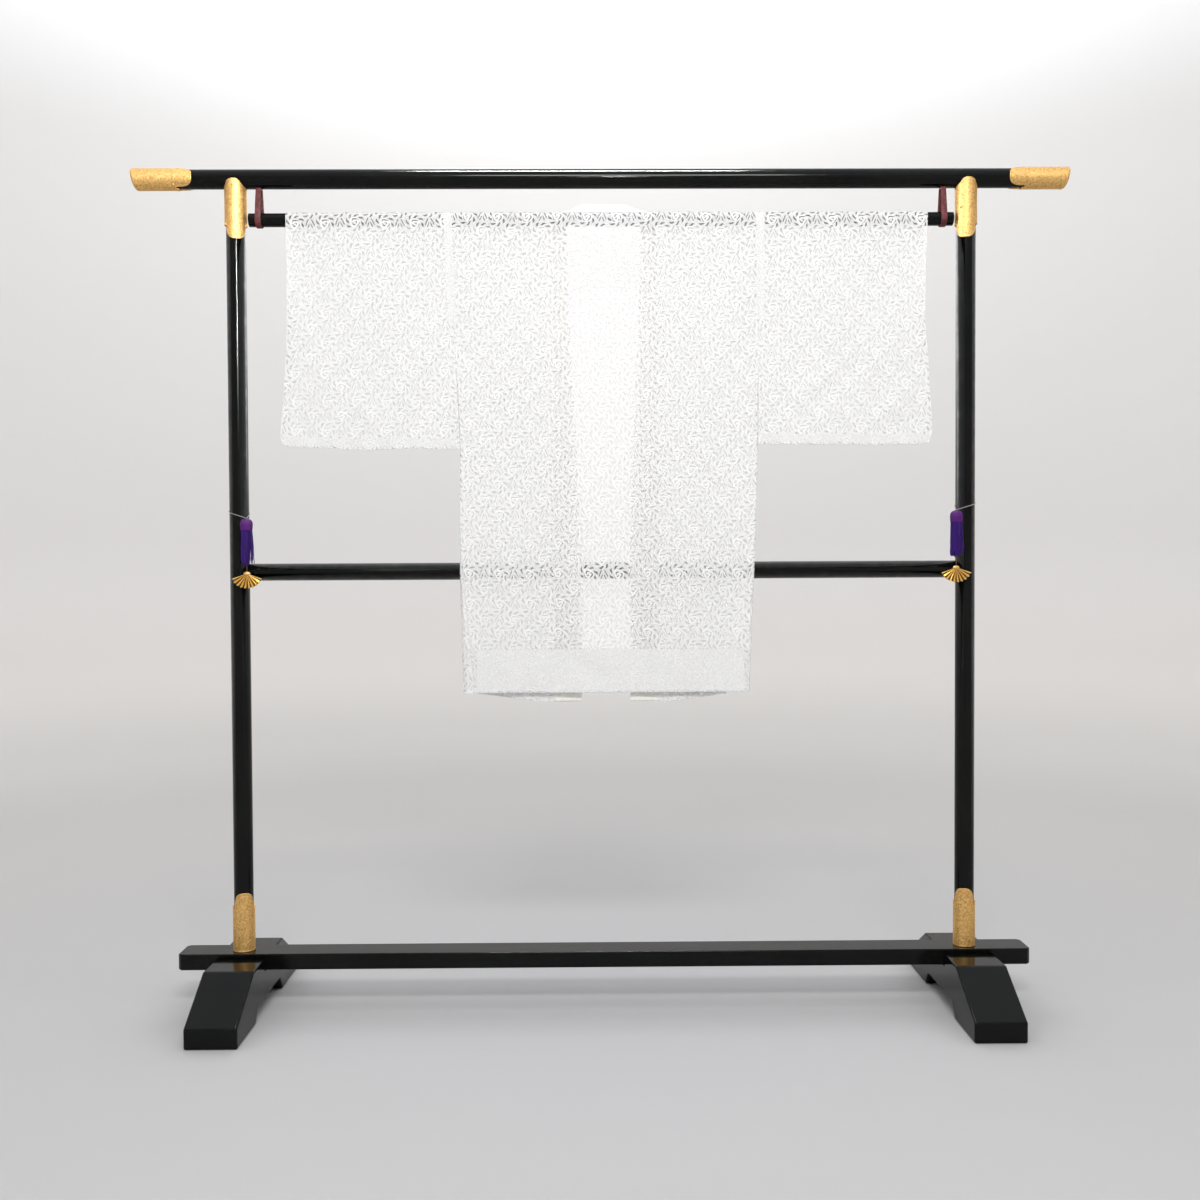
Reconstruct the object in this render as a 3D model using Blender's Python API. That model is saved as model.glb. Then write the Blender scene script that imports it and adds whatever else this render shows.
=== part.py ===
"""A white lace haori hung on the rod of a black lacquered kimono stand.

Metres, +Z up. The viewer stands at -Y and sees the back of the haori; its open
fronts hang behind. The origin is on the floor under the middle of the stand.
"Left" and "right" are the viewer's, at -X and +X.
"""

import math

import bmesh
import bpy
from mathutils import Vector

# Kimono stand: bars
BEAM_AXIS_Z = 1.739
BEAM_DIAMETER = 0.040
BEAM_LENGTH = 1.962
BEAM_END_SLANT = 0.008
POST_X = 0.764
POST_DIAMETER = 0.040
RAIL_AXIS_Z = 0.920
RAIL_DIAMETER = 0.036
ROD_AXIS_Z = 1.6545
ROD_DIAMETER = 0.028
ROD_LENGTH = 1.471

# Kimono stand: feet and the board that ties them
FOOT_WIDTH = 0.104
FOOT_LENGTH = 0.460
FOOT_END_HEIGHT = 0.041
HUB_HEIGHT = 0.112
HUB_LENGTH = 0.222
ARCH_HEIGHT = 0.029
ARCH_TOP_LENGTH = 0.166
ARCH_FOOT_LENGTH = 0.206
BASE_LENGTH = 1.789
BASE_DEPTH = 0.065
BASE_BOTTOM_Z = 0.088
BASE_TOP_Z = 0.1215

# Kimono stand: gilt fittings, straps and hanging ornaments
FITTING_DIAMETER = 0.046
FITTING_TURN = math.radians(18)
TONGUE_LENGTH = 0.030
CAP_LENGTH = 0.1315
CAP_WALL = 0.002
TOP_FITTING_Z = 1.6114
TOP_FITTING_PEAK_Z = 1.7355
TOP_FITTING_CROWN = 0.020
BOTTOM_FITTING_Z = 0.246
STRAP_X = 0.7146
STRAP_WIDTH = 0.0125
STRAP_THICKNESS = 0.002
STRAP_TOP_HALF_SPREAD = 0.006
THREAD_RADIUS = 0.0008
THREAD_TURN_RADIUS = 0.0012
THREAD_RISE = 0.010
TASSEL_LENGTH = 0.095
TASSEL_DIAMETER = 0.026
TASSEL_STRANDS = 40
STRAND_RADIUS = 0.00085
FAN_RADIUS = 0.0335
FAN_MIDDLE_RADIUS = 0.031
FAN_HALF_SPREAD = math.radians(71)
FAN_PLEATS = 12
FAN_SHEET = 0.0011

# Where the left (-1) and the right (1) ornament hang
ORNAMENT_X = {-1: 0.7395, 1: 0.7348}
TASSEL_TOP_Z = {-1: 1.031, 1: 1.042}
FAN_PIVOT_Z = {-1: 0.917, 1: 0.923}

# Haori: cloth
CLOTH = 0.0015
COLLAR_CLOTH = 0.0026
PATCH_CLOTH = 0.0010
SEAM_GAP = 0.0003
ROD_CLEARANCE = 0.0005
TURN_UP = 0.093
TURN_UP_GAP = 0.0022

# Haori: the flat outline as it hangs
BACK_HEM_Z = 0.666
FRONT_HEM_DROP = 0.019
SLEEVE_BOTTOM_Z = 1.181
LEFT_SLEEVE_SAG = 0.0065
ARMHOLE_END_Z = 1.441
SLEEVE_PARTING = 0.0012
WRIST_END_Z = 1.452
WRIST_GAPE = 0.075
GUSSET_FLARE_Z = 1.004
GUSSET_SEAM_INSET = 0.0035
LAPEL_SEAM_LEFT = -0.1045
LAPEL_SEAM_RIGHT = 0.1170
NECK_LEFT = -0.0730
NECK_RIGHT = 0.0795
LAPEL_EDGE_LEFT = -0.0470
LAPEL_EDGE_RIGHT = 0.0550
COLLAR_STAND = 0.020
BODY_LEAN_Z = 0.938
PATCH_LEFT = -0.0670
PATCH_RIGHT = 0.0795
PATCH_BOTTOM_Z = 1.5030
PATCH_TOP_Z = 1.6227

# Height, then the body's left and right edge at it
BODY_EDGES = (
    (1.671, -0.3180, 0.3270),
    (1.441, -0.3090, 0.3255),
    (1.186, -0.2970, 0.3225),
    (0.920, -0.2995, 0.3145),
    (0.666, -0.2950, 0.3040),
)

# Height, then the left and right sleeve's outer edge at it
SLEEVE_EDGES = (
    (1.671, -0.6575, 0.6805),
    (1.560, -0.6550, 0.6755),
    (1.482, -0.6565, 0.6745),
    (1.441, -0.6555, 0.6740),
    (1.379, -0.6580, 0.6795),
    (1.275, -0.6650, 0.6860),
    (1.215, -0.6715, 0.6895),
    (1.181, -0.6720, 0.6895),
)
SLEEVE_CORNER_LEFT = 0.022
SLEEVE_CORNER_RIGHT = 0.030

GAP = 0.0003

# Divisions of the curved shapes
ROUND_SIDES = 24
FITTING_SIDES = 32
SIDE_COLUMNS = 7
NECK_COLUMNS = 6
PANEL_ROWS = 20
GUSSET_ROWS = 13
ARC_STEPS = 8

MATERIALS = {}


def clear_scene():
    for item in list(bpy.data.objects):
        bpy.data.objects.remove(item, do_unlink=True)


def make_material(name, colour, roughness, metallic=0.0):
    material = bpy.data.materials.new(name)
    material.use_nodes = True
    shader = material.node_tree.nodes["Principled BSDF"]
    shader.inputs["Base Color"].default_value = (*colour, 1.0)
    shader.inputs["Roughness"].default_value = roughness
    shader.inputs["Metallic"].default_value = metallic
    material.diffuse_color = (*colour, 1.0)
    MATERIALS[name] = material


def make_materials():
    make_material("lace", (0.90, 0.90, 0.87), 0.75)
    make_material("plain_cloth", (0.88, 0.87, 0.82), 0.80)
    make_material("lacquer", (0.012, 0.015, 0.014), 0.15)
    make_material("gilt_brass", (0.80, 0.52, 0.20), 0.30, 1.0)
    make_material("strap_leather", (0.17, 0.035, 0.035), 0.55)
    make_material("tassel_silk", (0.09, 0.02, 0.25), 0.60)
    make_material("thread", (0.35, 0.28, 0.33), 0.80)


def add_object(name, mesh, material):
    piece = bpy.data.objects.new(name, mesh)
    bpy.context.scene.collection.objects.link(piece)
    mesh.materials.append(MATERIALS[material])
    return piece


def mesh_from(name, points, faces, smooth_angle=math.radians(35)):
    """A mesh from points and faces, with equal points merged and faces pointing out."""
    mesh = bpy.data.meshes.new(name)
    mesh.from_pydata(points, [], faces)
    shape = bmesh.new()
    shape.from_mesh(mesh)
    bmesh.ops.remove_doubles(shape, verts=shape.verts, dist=0.00001)
    bmesh.ops.dissolve_degenerate(shape, edges=shape.edges, dist=0.000001)
    bmesh.ops.recalc_face_normals(shape, faces=shape.faces)
    shape.to_mesh(mesh)
    shape.free()
    mesh.shade_smooth()
    mesh.set_sharp_from_angle(angle=smooth_angle)
    return mesh


def rings_mesh(name, rings, wrap=False):
    """A closed skin through rings of equal length, capped at its ends or joined to itself."""
    count = len(rings[0])
    points = [point for ring in rings for point in ring]
    faces = []
    for row in range(len(rings) if wrap else len(rings) - 1):
        for side in range(count):
            here = row * count
            there = (row + 1) % len(rings) * count
            after = (side + 1) % count
            faces.append((here + side, here + after, there + after, there + side))
    if not wrap:
        faces.append(tuple(range(count)))
        faces.append(tuple(range(len(points) - count, len(points))))
    return mesh_from(name, points, faces)


def circle(centre, radius, sides, axis):
    """A ring of points round an axis, the first of them at -Y or, about Y, at +X."""
    points = []
    for side in range(sides):
        angle = 2 * math.pi * side / sides
        if axis == "Z":
            offset = Vector((math.sin(angle), -math.cos(angle), 0))
        elif axis == "X":
            offset = Vector((0, -math.cos(angle), math.sin(angle)))
        else:
            offset = Vector((math.cos(angle), 0, math.sin(angle)))
        points.append(Vector(centre) + offset * radius)
    return points


def bar_mesh(name, start, end, radius, axis, sides=ROUND_SIDES):
    return rings_mesh(name, [circle(start, radius, sides, axis), circle(end, radius, sides, axis)])


def cut_with_bar(piece, centre, radius, axis):
    """Cut a round saddle from a piece, with a bar that stays as a hidden cutter."""
    reach = Vector((0.06, 0, 0)) if axis == "X" else Vector((0, 0, 0.06))
    middle = Vector(centre)
    mesh = bar_mesh(piece.name + "_cutter", middle - reach, middle + reach, radius, axis)
    cutter = bpy.data.objects.new(mesh.name, mesh)
    bpy.context.scene.collection.objects.link(cutter)
    cutter.hide_render = True
    cutter.display_type = "WIRE"
    cut = piece.modifiers.new("Saddle", "BOOLEAN")
    cut.operation = "DIFFERENCE"
    cut.object = cutter


def join_to(piece, mesh):
    """Fuse a second closed mesh to a piece, which it overlaps."""
    guide = bpy.data.objects.new(mesh.name, mesh)
    bpy.context.scene.collection.objects.link(guide)
    guide.hide_render = True
    guide.display_type = "WIRE"
    union = piece.modifiers.new("Join", "BOOLEAN")
    union.operation = "UNION"
    union.object = guide


def between(low, high, share):
    return low + (high - low) * share


def smooth_step(low, high, value):
    share = min(max((value - low) / (high - low), 0.0), 1.0)
    return share * share * (3 - 2 * share)


def from_table(table, height, column):
    """A value from a table whose rows go down in height, read between two rows."""
    if height >= table[0][0]:
        return table[0][column]
    for upper, lower in zip(table, table[1:]):
        if height >= lower[0]:
            share = (upper[0] - height) / (upper[0] - lower[0])
            return between(upper[column], lower[column], share)
    return table[-1][column]


# Stand: beam, posts, rails and rod

def beam_end_ring(side, inset, radius, sides):
    """The slanted ring at one end of the beam, longer at the top than at the bottom."""
    ring = []
    for point in circle((0, 0, BEAM_AXIS_Z), radius, sides, "X"):
        slant = BEAM_END_SLANT / 2 * (point.z - BEAM_AXIS_Z) / (BEAM_DIAMETER / 2)
        reach = BEAM_LENGTH / 2 - BEAM_END_SLANT / 2 - inset + slant
        ring.append(Vector((side * reach, point.y, point.z)))
    return ring


def make_beam():
    rings = [beam_end_ring(side, CAP_WALL + GAP, BEAM_DIAMETER / 2, ROUND_SIDES) for side in (-1, 1)]
    add_object("top_beam", rings_mesh("top_beam", rings), "lacquer")


def make_post(name, side):
    """A post that stands on the base board and takes the beam in a saddle at its top."""
    x, saddle_depth = side * POST_X, 0.008
    top = BEAM_AXIS_Z - saddle_depth
    mesh = bar_mesh(name, (x, 0, BASE_TOP_Z + GAP), (x, 0, top), POST_DIAMETER / 2, "Z")
    post = add_object(name, mesh, "lacquer")
    cut_with_bar(post, (x, 0, BEAM_AXIS_Z), BEAM_DIAMETER / 2 + GAP, "X")


def make_mid_rail():
    reach = POST_X - POST_DIAMETER / 4
    mesh = bar_mesh("mid_rail", (-reach, 0, RAIL_AXIS_Z), (reach, 0, RAIL_AXIS_Z), RAIL_DIAMETER / 2, "X")
    rail = add_object("mid_rail", mesh, "lacquer")
    for side in (-1, 1):
        cut_with_bar(rail, (side * POST_X, 0, RAIL_AXIS_Z), POST_DIAMETER / 2 + GAP, "Z")


def make_hanger_rod():
    half = ROD_LENGTH / 2
    chamfer = 0.002
    rings = [
        circle((x, 0, ROD_AXIS_Z), radius, ROUND_SIDES, "X")
        for x, radius in (
            (-half, ROD_DIAMETER / 2 - chamfer), (-half + chamfer, ROD_DIAMETER / 2),
            (half - chamfer, ROD_DIAMETER / 2), (half, ROD_DIAMETER / 2 - chamfer))
    ]
    add_object("hanger_rod", rings_mesh("hanger_rod", rings), "lacquer")


def make_strap(name, side):
    """A flat band from the beam's underside down round the rod and up again."""
    top_y, top_z = STRAP_TOP_HALF_SPREAD, BEAM_AXIS_Z - BEAM_DIAMETER / 2 + GAP
    radius = ROD_DIAMETER / 2 + GAP + STRAP_THICKNESS / 2
    path = []
    for step in range(5):
        share = step / 4
        path.append((-between(top_y, radius, share ** 0.8), between(top_z, ROD_AXIS_Z, share)))
    for step in range(1, 12):
        angle = math.pi * step / 12
        path.append((-radius * math.cos(angle), ROD_AXIS_Z - radius * math.sin(angle)))
    for step in range(5):
        share = 1 - step / 4
        path.append((between(top_y, radius, share ** 0.8), between(top_z, ROD_AXIS_Z, share)))
    grid = []
    for y, z in path:
        half = STRAP_WIDTH / 2 * (1 - 0.10 * smooth_step(ROD_AXIS_Z, top_z, z))
        grid.append([Vector((side * STRAP_X + offset * half, y, z)) for offset in (-1, 0, 1)])
    wall(name, grid, STRAP_THICKNESS, "strap_leather")


# Stand: feet and base board

def prism_x(name, profile, start, end):
    """A closed prism along X through an outline of (y, z) points."""
    return rings_mesh(name, [[Vector((x, y, z)) for y, z in profile] for x in (start, end)])


def make_foot(name, side):
    end, hub, rail = FOOT_LENGTH / 2, HUB_LENGTH / 2, BASE_DEPTH / 2 + GAP
    arch_top, arch_foot = ARCH_TOP_LENGTH / 2, ARCH_FOOT_LENGTH / 2
    half_profile = (
        (rail, BASE_BOTTOM_Z - GAP), (rail, HUB_HEIGHT), (hub, HUB_HEIGHT), (end, FOOT_END_HEIGHT),
        (end, 0.0), (arch_foot, 0.0), (arch_top, ARCH_HEIGHT))
    profile = list(half_profile) + [(-y, z) for y, z in reversed(half_profile)]
    mesh = prism_x(name, profile, side * POST_X - FOOT_WIDTH / 2, side * POST_X + FOOT_WIDTH / 2)
    foot = add_object(name, mesh, "lacquer")
    ease = foot.modifiers.new("Eased edges", "BEVEL")
    ease.width = 0.0025
    ease.segments = 1
    ease.limit_method = "ANGLE"
    ease.angle_limit = math.radians(20)


def make_base_board():
    half, depth, chamfer = BASE_LENGTH / 2, BASE_DEPTH / 2, 0.007
    outline = (
        (-half + chamfer, -depth), (half - chamfer, -depth),
        (half, -depth + chamfer), (half, depth - chamfer),
        (half - chamfer, depth), (-half + chamfer, depth),
        (-half, depth - chamfer), (-half, -depth + chamfer))
    mesh = rings_mesh("base_board", [[Vector((x, y, z)) for x, y in outline]
                                     for z in (BASE_BOTTOM_Z, BASE_TOP_Z)])
    board = add_object("base_board", mesh, "lacquer")
    ease = board.modifiers.new("Eased edges", "BEVEL")
    ease.width = 0.002
    ease.segments = 1
    ease.limit_method = "ANGLE"
    ease.angle_limit = math.radians(60)


# Stand: gilt fittings

def tongue_reach(angle):
    """How far a fitting's edge reaches: a round tongue front and back, each between two nicks."""
    away = abs((angle + math.pi / 2) % math.pi - math.pi / 2)
    half_tongue, half_nick = math.radians(62), math.radians(74)
    if away < half_tongue:
        return TONGUE_LENGTH * (1 - (away / half_tongue) ** 2) ** 0.45
    if away < half_nick:
        return -0.004
    return 0.0


def upright_tube(name, x, low_of, high_of):
    """A tube of sheet round a post, whose two edges are functions of the angle from the front."""
    inner, outer = POST_DIAMETER / 2 + GAP, FITTING_DIAMETER / 2
    rings = []
    for radius, edge_of in ((inner, low_of), (outer, low_of), (outer, high_of), (inner, high_of)):
        angles = [2 * math.pi * step / FITTING_SIDES for step in range(FITTING_SIDES)]
        rings.append([Vector((x + radius * math.sin(angle), -radius * math.cos(angle), edge_of(angle)))
                      for angle in angles])
    return rings_mesh(name, rings, wrap=True)


def make_post_top_fitting(name, side):
    """Sheet round the post's head, lapping up over the front and back of the beam."""
    def low_of(angle):
        return TOP_FITTING_Z + TONGUE_LENGTH - tongue_reach(angle + side * FITTING_TURN)

    def high_of(angle):
        return TOP_FITTING_PEAK_Z - TOP_FITTING_CROWN * (1 - abs(math.cos(angle)))

    fitting = add_object(name, upright_tube(name, side * POST_X, low_of, high_of), "gilt_brass")
    cut_with_bar(fitting, (side * POST_X, 0, BEAM_AXIS_Z), BEAM_DIAMETER / 2 + GAP, "X")


def make_post_bottom_fitting(name, side):
    """Sheet round the post's foot, its tongued edge upwards."""
    def low_of(angle):
        return BASE_TOP_Z + GAP

    def high_of(angle):
        return BOTTOM_FITTING_Z - TONGUE_LENGTH + tongue_reach(angle + side * FITTING_TURN)

    add_object(name, upright_tube(name, side * POST_X, low_of, high_of), "gilt_brass")


def make_beam_cap(name, side):
    """A sheet cap on the beam's end: a tube with a tongued inner edge and a slanted end disc."""
    rings = []
    for radius, at_end, inset in ((BEAM_DIAMETER / 2 + GAP, False, 0), (FITTING_DIAMETER / 2, False, 0),
                                  (FITTING_DIAMETER / 2, True, 0), (0.0004, True, 0),
                                  (0.0004, True, CAP_WALL), (BEAM_DIAMETER / 2 + GAP, True, CAP_WALL)):
        if at_end:
            rings.append(beam_end_ring(side, inset, radius, FITTING_SIDES))
            continue
        ring = []
        for step, point in enumerate(circle((0, 0, BEAM_AXIS_Z), radius, FITTING_SIDES, "X")):
            reach = tongue_reach(2 * math.pi * step / FITTING_SIDES) - TONGUE_LENGTH
            ring.append(Vector((side * (BEAM_LENGTH / 2 - CAP_LENGTH - reach), point.y, point.z)))
        rings.append(ring)
    add_object(name, rings_mesh(name, rings, wrap=True), "gilt_brass")


# Stand: tassel, its thread and its little fan

def ornament_axis(side):
    return side * ORNAMENT_X[side], -(POST_DIAMETER / 2 + TASSEL_DIAMETER / 2 + 0.0015)


def make_thread(name, side):
    """A thread looped round the post and, lower down, over the top of the tassel it carries."""
    x, y = ornament_axis(side)
    post = Vector((side * POST_X, 0, 0))
    tassel = Vector((x, y, 0))
    reach = (tassel - post).length
    facing = math.atan2(tassel.y - post.y, tassel.x - post.x)
    around = POST_DIAMETER / 2 + GAP + THREAD_RADIUS
    tangent = math.acos((around - THREAD_TURN_RADIUS) / reach)
    belt = [(post, around, between(tangent, 2 * math.pi - tangent, step / 20)) for step in range(21)]
    belt += [(tassel, THREAD_TURN_RADIUS, between(-tangent, tangent, step / 5)) for step in range(6)]
    lowest = TASSEL_TOP_Z[side] + 2 * GAP + THREAD_RADIUS
    rings = []
    for centre, radius, turn in belt:
        outward = Vector((math.cos(facing + turn), math.sin(facing + turn), 0))
        point = centre + outward * radius
        share = (point - tassel).dot(post - tassel) / reach ** 2
        point.z = lowest + THREAD_RISE * share
        corners = (2 * math.pi * corner / 5 for corner in range(5))
        rings.append([point + THREAD_RADIUS * (outward * math.cos(spin) + Vector((0, 0, math.sin(spin))))
                      for spin in corners])
    add_object(name, rings_mesh(name, rings, wrap=True), "thread")


# Depth below the tassel's top and radius of its bound head
TASSEL_HEAD = (
    (0.000, 0.0022), (0.002, 0.0062), (0.007, 0.0095), (0.012, 0.0108), (0.016, 0.0098),
    (0.019, 0.0104), (0.023, 0.0118),
)


def strand_stations(strand, top):
    """Turn round the tassel, then height and distance from its axis at root, shoulder and tip."""
    inner = strand % 2 == 0
    turn = 2 * math.pi * (strand // 2 + (0.0 if inner else 0.5)) / (TASSEL_STRANDS / 2)
    root, tip = (0.0068, 0.0078) if inner else (0.0103, 0.0121)
    wobble = 0.0004 * math.sin(5.1 * strand)
    ragged = 0.003 * (0.5 + 0.5 * math.sin(3.7 * strand))
    bottom = top - TASSEL_LENGTH + ragged
    return turn, ((top - 0.020, root), (top - 0.045, tip + wobble), (bottom, tip))


def make_tassel(name, side):
    """A bound head with separate strands, fused to it at their roots."""
    x, y = ornament_axis(side)
    top = TASSEL_TOP_Z[side]
    rings = [circle((x, y, top - depth), radius, 14, "Z") for depth, radius in TASSEL_HEAD]
    tassel = add_object(name, rings_mesh(name, rings), "tassel_silk")
    points, faces = [], []
    for strand in range(TASSEL_STRANDS):
        first = len(points)
        turn, stations = strand_stations(strand, top)
        for z, reach in stations:
            for corner in range(3):
                spin = turn + 2 * math.pi * corner / 3
                points.append((x + reach * math.sin(turn) + STRAND_RADIUS * math.sin(spin),
                               y - reach * math.cos(turn) - STRAND_RADIUS * math.cos(spin), z))
        faces.append((first, first + 1, first + 2))
        faces.append((first + 6, first + 7, first + 8))
        for row in (first, first + 3):
            for corner in range(3):
                after = (corner + 1) % 3
                faces.append((row + corner, row + after, row + after + 3, row + corner + 3))
    join_to(tassel, mesh_from(name + "_strands", points, faces))


def make_fan(name, side):
    """An open pleated fan, pivot up, with the cord that hangs it from the tassel's head."""
    x, y = ornament_axis(side)
    pivot_z, pleat_depth, inner_reach = FAN_PIVOT_Z[side], 0.0011, 0.004
    grid = []
    for step in range(2 * FAN_PLEATS + 1):
        outward = step / FAN_PLEATS - 1
        angle = FAN_HALF_SPREAD * outward
        ridge = pleat_depth if step % 2 else -pleat_depth
        edge = between(FAN_MIDDLE_RADIUS, FAN_RADIUS, abs(outward)) * (1 - 0.035 * (step % 2))
        row = []
        for reach in (inner_reach, edge):
            row.append(Vector((x + reach * math.sin(angle), y + ridge * reach / edge,
                               pivot_z - reach * math.cos(angle))))
        grid.append(row)
    fan = wall(name, grid, FAN_SHEET, "gilt_brass")
    knob = [circle((x, y + depth, pivot_z), width, 10, "Y")
            for depth, width in ((-0.0032, 0.0022), (-0.0020, 0.0050), (0.0020, 0.0050), (0.0032, 0.0022))]
    join_to(fan, rings_mesh(name + "_knob", knob))
    cord_top = TASSEL_TOP_Z[side] - TASSEL_HEAD[-1][0] - GAP
    join_to(fan, bar_mesh(name + "_cord", (x, y, pivot_z), (x, y, cord_top), THREAD_RADIUS, "Z", 6))


# Haori

def wall(name, grid, thickness, material, skip=None, wrap=False):
    """Cloth of even thickness about a grid of points; skip(row, column) leaves a cell open."""
    rows, columns = len(grid), len(grid[0])
    points = [point for row in grid for point in row]
    faces = []
    for row in range(rows if wrap else rows - 1):
        for column in range(columns - 1):
            if skip and skip(row, column):
                continue
            here, there = row * columns + column, (row + 1) % rows * columns + column
            faces.append((here, here + 1, there + 1, there))
    mesh = mesh_from(name, points, faces)
    shape = bmesh.new()
    shape.from_mesh(mesh)
    loose = [vert for vert in shape.verts if not vert.link_faces]
    bmesh.ops.delete(shape, geom=loose, context="VERTS")
    shape.to_mesh(mesh)
    shape.free()
    piece = add_object(name, mesh, material)
    thick = piece.modifiers.new("Cloth thickness", "SOLIDIFY")
    thick.thickness = thickness
    thick.offset = 0
    return piece


def rod_radius(thickness):
    return ROD_DIAMETER / 2 + ROD_CLEARANCE + thickness / 2


def body_edge(side, z):
    return from_table(BODY_EDGES, z, 1 if side < 0 else 2)


def gusset_share(z):
    """From 0 where the side gusset starts to spread to 1 at the hem."""
    return min(max((GUSSET_FLARE_Z - z) / (GUSSET_FLARE_Z - BACK_HEM_Z), 0.0), 1.0)


def panel_level(row):
    """The height of a row of the panels, which the gussets share."""
    return between(BACK_HEM_Z + TURN_UP_GAP / 2, ROD_AXIS_Z, row / PANEL_ROWS)


def side_seam(side, z, spread):
    """A panel's side edge, set in where the gusset stands out past it, most at the hem."""
    inset = GUSSET_SEAM_INSET * smooth_step(panel_level(GUSSET_ROWS + 1), panel_level(GUSSET_ROWS), z)
    return body_edge(side, z) - side * (inset + spread * gusset_share(z))


def back_edge(side, z):
    return side_seam(side, z, 0.025 if side < 0 else 0.006)


def front_edge(side, z):
    return side_seam(side, z, 0.027 if side < 0 else 0.046)


def hang_y(z, at_rod, at_rail):
    """A layer's depth: straight from the rod to the mid rail's front, then plumb."""
    share = (ROD_AXIS_Z - max(z, BODY_LEAN_Z)) / (ROD_AXIS_Z - BODY_LEAN_Z)
    return between(at_rod, at_rail, share)


def back_y(x, z):
    """The back panel, with shallow upright waves that grow towards the hem."""
    swell = 0.0026 * smooth_step(1.55, BACK_HEM_Z, z)
    wave = math.sin(2 * math.pi * x / 0.185 + 0.6) + 0.5 * math.sin(2 * math.pi * x / 0.079 + 2.0)
    return hang_y(z, -rod_radius(CLOTH), -0.0355) + swell * wave / 1.5


def front_y(x, z, thickness=CLOTH):
    """A front panel, which lies against the mid rail and waves only away from it."""
    swell = 0.0022 * smooth_step(1.55, 0.95, z) * (0.35 + 0.65 * smooth_step(0.90, 0.70, z))
    wave = 0.5 + 0.5 * math.sin(2 * math.pi * x / 0.120 + 1.1)
    at_rail = -(RAIL_DIAMETER / 2 + ROD_CLEARANCE + thickness / 2)
    return hang_y(z, rod_radius(thickness), at_rail) - swell * wave


def column_x(column, z, edge):
    """Where a column of the body stands: side, lapel seam, lapel seam, side."""
    if column <= SIDE_COLUMNS:
        return between(edge(-1, z), LAPEL_SEAM_LEFT, column / SIDE_COLUMNS)
    if column <= SIDE_COLUMNS + NECK_COLUMNS:
        return between(LAPEL_SEAM_LEFT, LAPEL_SEAM_RIGHT, (column - SIDE_COLUMNS) / NECK_COLUMNS)
    share = (column - SIDE_COLUMNS - NECK_COLUMNS) / SIDE_COLUMNS
    return between(LAPEL_SEAM_RIGHT, edge(1, z), share)


def front_hem_z(x):
    """The fronts hang lower towards the opening."""
    if x < 0:
        share = (x - BODY_EDGES[-1][1]) / (LAPEL_SEAM_LEFT - BODY_EDGES[-1][1])
    else:
        share = (BODY_EDGES[-1][2] - x) / (BODY_EDGES[-1][2] - LAPEL_SEAM_RIGHT)
    return BACK_HEM_Z - 0.001 - FRONT_HEM_DROP * smooth_step(0.0, 1.0, share)


def panel_rows(hem_of, depth_of, edge, inward):
    """One layer of the body from the top of its turn-up, round the hem and up to the rod.

    inward is +1 where the inside of the haori lies at +Y of the layer, else -1.
    """
    columns = range(2 * SIDE_COLUMNS + NECK_COLUMNS + 1)
    rows = []

    def point(column, height_of, inset=0.0):
        x = column_x(column, height_of(0.0), edge)
        z = height_of(x)
        return Vector((x, depth_of(x, z) + inset, z))

    for step in range(3):
        rise = TURN_UP * (1 - step / 3)
        rows.append([point(column, lambda x: hem_of(x) + rise, inward * TURN_UP_GAP) for column in columns])
    bend = TURN_UP_GAP / 2
    for step in range(4):
        angle = math.pi * step / 3
        inset = inward * bend * (1 + math.cos(angle))
        lift = bend * (1 - math.sin(angle))
        rows.append([point(column, lambda x: hem_of(x) + lift, inset) for column in columns])
    for step in range(1, PANEL_ROWS + 1):
        share = step / PANEL_ROWS
        rows.append([point(column, lambda x: between(hem_of(x) + bend, ROD_AXIS_Z, share))
                     for column in columns])
    return rows


def over_rod(columns, radius, steps, edge, start, end):
    """Rows of points that wrap the rod from the start to the end angle, 0 being its far side."""
    rows = []
    for step in range(steps + 1):
        angle = between(start, end, step / steps)
        y, z = radius * math.cos(angle), ROD_AXIS_Z + radius * math.sin(angle)
        rows.append([Vector((column_x(column, z, edge), y, z)) for column in columns])
    return rows


def make_body():
    """Back and both fronts in one length over the shoulder, hems turned up inside."""
    columns = range(2 * SIDE_COLUMNS + NECK_COLUMNS + 1)
    back = panel_rows(lambda x: BACK_HEM_Z, back_y, back_edge, 1)
    front = panel_rows(front_hem_z, front_y, front_edge, -1)
    arc = over_rod(columns, rod_radius(CLOTH), ARC_STEPS, body_edge, math.pi, 0)[1:-1]
    neck_row = len(back) + ARC_STEPS // 2 - 1
    grid = back + arc + list(reversed(front))

    def in_neck(row, column):
        return row >= neck_row and SIDE_COLUMNS <= column < SIDE_COLUMNS + NECK_COLUMNS

    wall("body", grid, CLOTH, "lace", skip=in_neck)


def make_gusset(name, side):
    """The side gusset, a narrow wedge between back and front with its fold standing outwards."""
    grid = []
    for z in [BACK_HEM_Z] + [panel_level(row) for row in range(1, GUSSET_ROWS + 1)]:
        clear = side * (SEAM_GAP + CLOTH * 0.8)
        start = Vector((back_edge(side, z) + clear, back_y(back_edge(side, z), z), z))
        finish = Vector((front_edge(side, z) + clear, front_y(front_edge(side, z), z), z))
        fold = Vector((body_edge(side, z) - side * 0.0005, (start.y + finish.y) / 2, z))
        row = []
        for share in (0.0, 0.2, 0.4, 0.5, 0.6, 0.8, 1.0):
            edge = start if share < 0.5 else finish
            reach = 1 - abs(2 * share - 1)
            x = between(edge.x, fold.x, reach ** 0.9)
            y = between(edge.y, fold.y, reach ** 3)
            row.append(Vector((x, y, z)))
        grid.append(row)
    wall(name, grid, CLOTH, "lace")


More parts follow.
